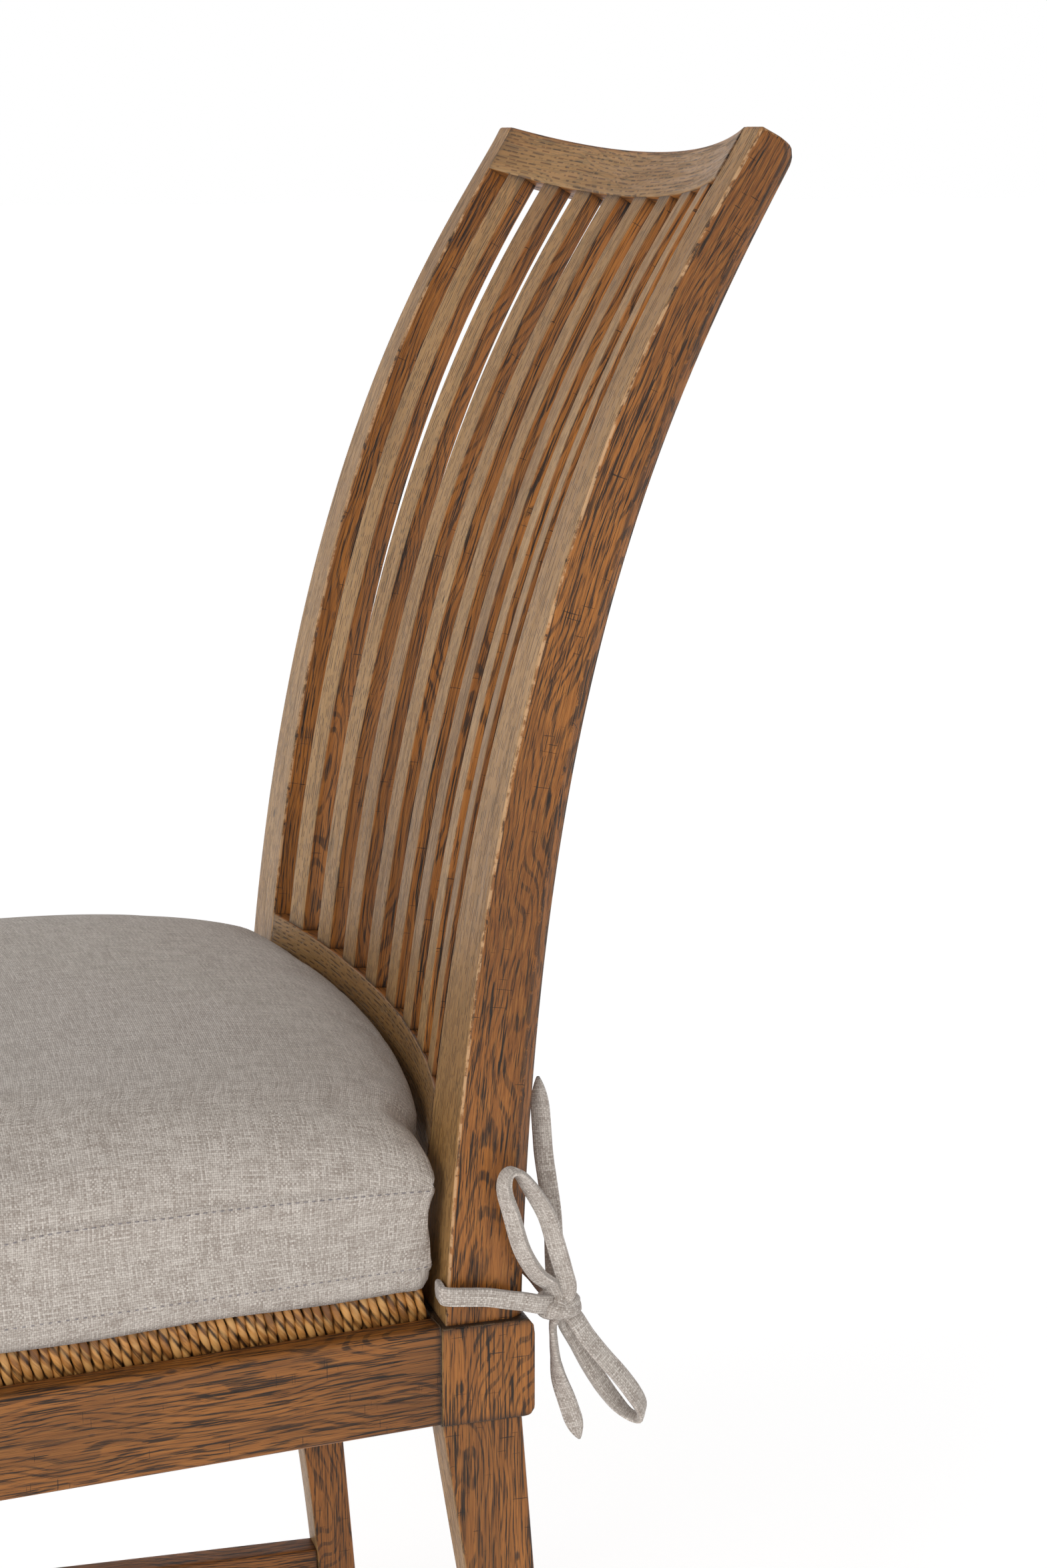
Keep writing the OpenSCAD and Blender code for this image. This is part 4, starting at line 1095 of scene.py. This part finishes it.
def settle(start, end, sag):
    """Cap the swelling, fill the rear corners and keep the cover clear of what it rests against."""
    cap, damped, corner_x, corner_y = 7.0, 30, 188, 70
    move = end - start
    dist = norm(move, axis=1)[:, None]
    move = move * np.where(dist > 1e-6, cap * np.tanh(dist / cap) / np.maximum(dist, 1e-6), 1)
    move = move * np.clip((start[:, 2:] - Z_LOW) / damped, 0.08, 1)
    P = start + move
    # take up what the rear corners drew in
    corner = P[(np.abs(P[:, 0]) > corner_x) & (P[:, 2] < Z_SEAM - 4)]
    slack = PAD_REAR + 1.6 - corner[:, 1].max()
    near_rear = np.clip((P[:, 1] - PAD_REAR + corner_y) / corner_y, 0, 1) ** 1.5
    P[:, 1] += slack * near_rear * np.clip((P[:, 2] - Z_LOW) / 16, 0, 1)
    # it rests flat on the rush
    floor_z = np.full(len(P), Z_LOW - 7.0)
    floor_z[PANEL:2 * PANEL] = sag.ravel()
    P[:, 2] = np.maximum(P[:, 2], floor_z)
    for p in P:
        if p[1] > POST_Y - 14:
            p[1] = min(p[1], back_limit(p[0], p[2]))
    return P


def seam_lift(d):
    """Height of the cover at d from a seam: sunk in the seam, puffed beside it."""
    return -1.1 * math.exp(-(d / 1.1) ** 2) + 0.55 * math.exp(-((d - 3.2) / 1.6) ** 2)


class Cover:
    """Gathers the panels and the boxing into one closed mesh with its weave's own coordinates."""

    def __init__(self):
        self.v, self.f, self.c, self.index = [], [], [], {}

    def patch(self, Q, weave, flip, lift):
        nu, nv = Q.shape[:2]
        nrm = np.cross(np.gradient(Q, axis=0), np.gradient(Q, axis=1))
        nrm /= np.maximum(norm(nrm, axis=2), 1e-9)[..., None]
        if flip:
            nrm = -nrm
        ids = np.empty((nu, nv), int)
        for a in range(nu):
            for b in range(nv):
                key = tuple(np.round(Q[a, b], 2))
                if key not in self.index:
                    self.index[key] = len(self.v)
                    self.v.append(Q[a, b] + nrm[a, b] * lift(a, b))
                ids[a, b] = self.index[key]
        for a in range(nu - 1):
            for b in range(nv - 1):
                q = [(a, b), (a + 1, b), (a + 1, b + 1), (a, b + 1)]
                if flip:
                    q = q[::-1]
                self.f.append(tuple(int(ids[x]) for x in q))
                self.c.extend(weave[x] for x in q)

    def panel(self, A, flip, shift):
        """A top or bottom panel; the weave's coordinates are lengths measured over the crown."""
        Q = resample(resample(A, UM, 0), UN, 1)
        run_u = np.cumsum(norm(np.diff(Q, axis=0, prepend=Q[:1]), axis=2), axis=0)
        run_v = np.cumsum(norm(np.diff(Q, axis=1, prepend=Q[:, :1]), axis=2), axis=1)
        run_u, run_v = run_u - run_u[len(UM) // 2], run_v - run_v[:, [len(UN) // 2]]
        weave = {(a, b): (run_u[a, b] / 1000 + shift, run_v[a, b] / 1000, 0)
                 for a in range(len(UM)) for b in range(len(UN))}
        self.patch(Q, weave, flip,
                   lambda a, b: seam_lift(min(UM[a], ACROSS - UM[a], UN[b], ALONG - UN[b]) * CELL))

    def boxing(self, wall):
        """The strip between the panels, one side at a time."""
        ends = [0, ACROSS, ACROSS + ALONG, 2 * ACROSS + ALONG, len(LOOP)]
        start = 0.0
        for lo, hi, us in zip(ends, ends[1:], (UM, UN, UM, UN)):
            cols = [c % len(LOOP) for c in range(lo, hi + 1)]
            Q = resample(resample(wall[:, cols], us, 1), UR, 0)
            seg = norm(np.diff(Q[len(UR) // 2], axis=0), axis=1)
            run = start + np.concatenate([[0], np.cumsum(seg)])
            start = run[-1]
            weave = {(a, b): (run[b] / 1000 + 1.4, (Q[a, b, 2] - 430) / 1000, 0)
                     for a in range(len(UR)) for b in range(len(us))}
            self.patch(Q, weave, True, lambda a, b: seam_lift(min(UR[a], ROWS - UR[a]) * ROW_H))


def stitches(wall):
    """Stitches in a row just inside each seam of the boxing, with the lower row nearly hidden."""
    pitch, length, sides = 4.0, 2.2, 6
    V, F = [], []
    for row, lift in ((ROWS - 0.42, 0.3), (0.42, 0.08)):
        ring = catmull(resample(wall, [row], 0)[0], 4, closed=True)
        closed = np.vstack([ring, ring[:1]])
        run = np.concatenate([[0], np.cumsum(norm(np.diff(closed, axis=0), axis=1))])
        count = int(run[-1] / pitch)
        for k in range(count):
            s = run[-1] * k / count
            p, q = (np.array([np.interp(x, run, closed[:, d]) for d in range(3)]) for x in (s, s + length))
            t = unit(q - p)
            out = unit(np.cross(t, Z))
            e = np.cross(out, t)
            base = len(V)
            for fr in (0, 0.25, 0.75, 1):
                c = p + (q - p) * fr + out * (lift + 0.35 * math.sin(fr * math.pi))
                rr = 0.18 + 0.2 * math.sin(fr * math.pi)
                for j in range(sides):
                    a = j * math.pi / 3
                    V.append(c + (out * math.cos(a) + e * math.sin(a)) * rr)
            F += tube_faces(base, 4, sides)
    ob = new_mesh("cushion_stitches", V, F, THREAD)


def cushion():
    top, low = cushion_panels()
    start, faces, rows = cage(top, low)
    end = inflate(start, faces)
    P = settle(start, end, low[:, :, 2])
    wall = P[np.array(rows)]
    cover = Cover()
    cover.panel(P[:PANEL].reshape(top.shape), False, 0.0)
    cover.panel(P[PANEL:2 * PANEL].reshape(top.shape), True, 0.7)
    cover.boxing(wall)
    ob = new_mesh("cushion", cover.v, cover.f, LINEN, None, {"weave": cover.c})
    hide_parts("cushion_foam", "cushion_top", "cushion_boxing", "cushion_base")
    stitches(wall)


cushion()

# ---- CAD pieces that keep their shape ---------------------------------
for name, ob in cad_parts.items():
    if name.startswith("seat_bar") or name.startswith("corner_block"):
        mat = PALE
    elif name == "corner_screws":
        mat = STEEL
    elif name == "foot_glides":
        mat = NYLON
    else:
        continue
    ob = ob if isinstance(ob, bpy.types.Object) else bpy.data.objects[name]
    ob.data.materials.clear()
    ob.data.materials.append(mat)

# ---- studio -----------------------------------------------------------
floor_mat = Nodes("floor")
cloud = floor_mat.noise(floor_mat.add("ShaderNodeTexCoord").outputs["Object"], scale=2)
floor_mat.finish(floor_mat.mix(cloud, (0.9, 0.9, 0.9), (0.93, 0.93, 0.93)), 0.95, spec=0.05)
floor_mat.bsdf.inputs["Emission Color"].default_value = (1, 1, 1, 1)
floor_mat.bsdf.inputs["Emission Strength"].default_value = 0.54
me = bpy.data.meshes.new("floor")
me.from_pydata([(-40, -40, 0), (40, -40, 0), (40, 40, 0), (-40, 40, 0)], [], [(0, 1, 2, 3)])
me.materials.append(floor_mat.mat)
floor = add_object("floor", me)
world = bpy.data.worlds.new("studio")
scene.world = world
world.use_nodes = True
wt = world.node_tree
# a light surround all round, dimmer overhead
wc, ws, wr = (wt.nodes.new(k) for k in ("ShaderNodeTexCoord", "ShaderNodeSeparateXYZ", "ShaderNodeMapRange"))
wt.links.new(wc.outputs["Generated"], ws.inputs[0])
wt.links.new(ws.outputs[2], wr.inputs[0])
for k, v in zip((1, 2, 3, 4), (0.06, 0.5, 1.0, 0.46)):
    wr.inputs[k].default_value = v
wt.links.new(wr.outputs[0], wt.nodes["Background"].inputs[1])
wt.nodes["Background"].inputs[0].default_value = (1, 1, 1, 1)


def area(name, loc, target, size, power, color=(1, 1, 1)):
    light = bpy.data.lights.new(name, "AREA")
    light.size = size
    light.energy = power
    light.color = color
    ob = add_object(name, light)
    ob.location = loc
    ob.rotation_euler = (Vector(target) - Vector(loc)).to_track_quat("-Z", "Y").to_euler()


area("key", (1.9, -2.1, 2.1), (0, 0, 0.7), 1.4, 34)
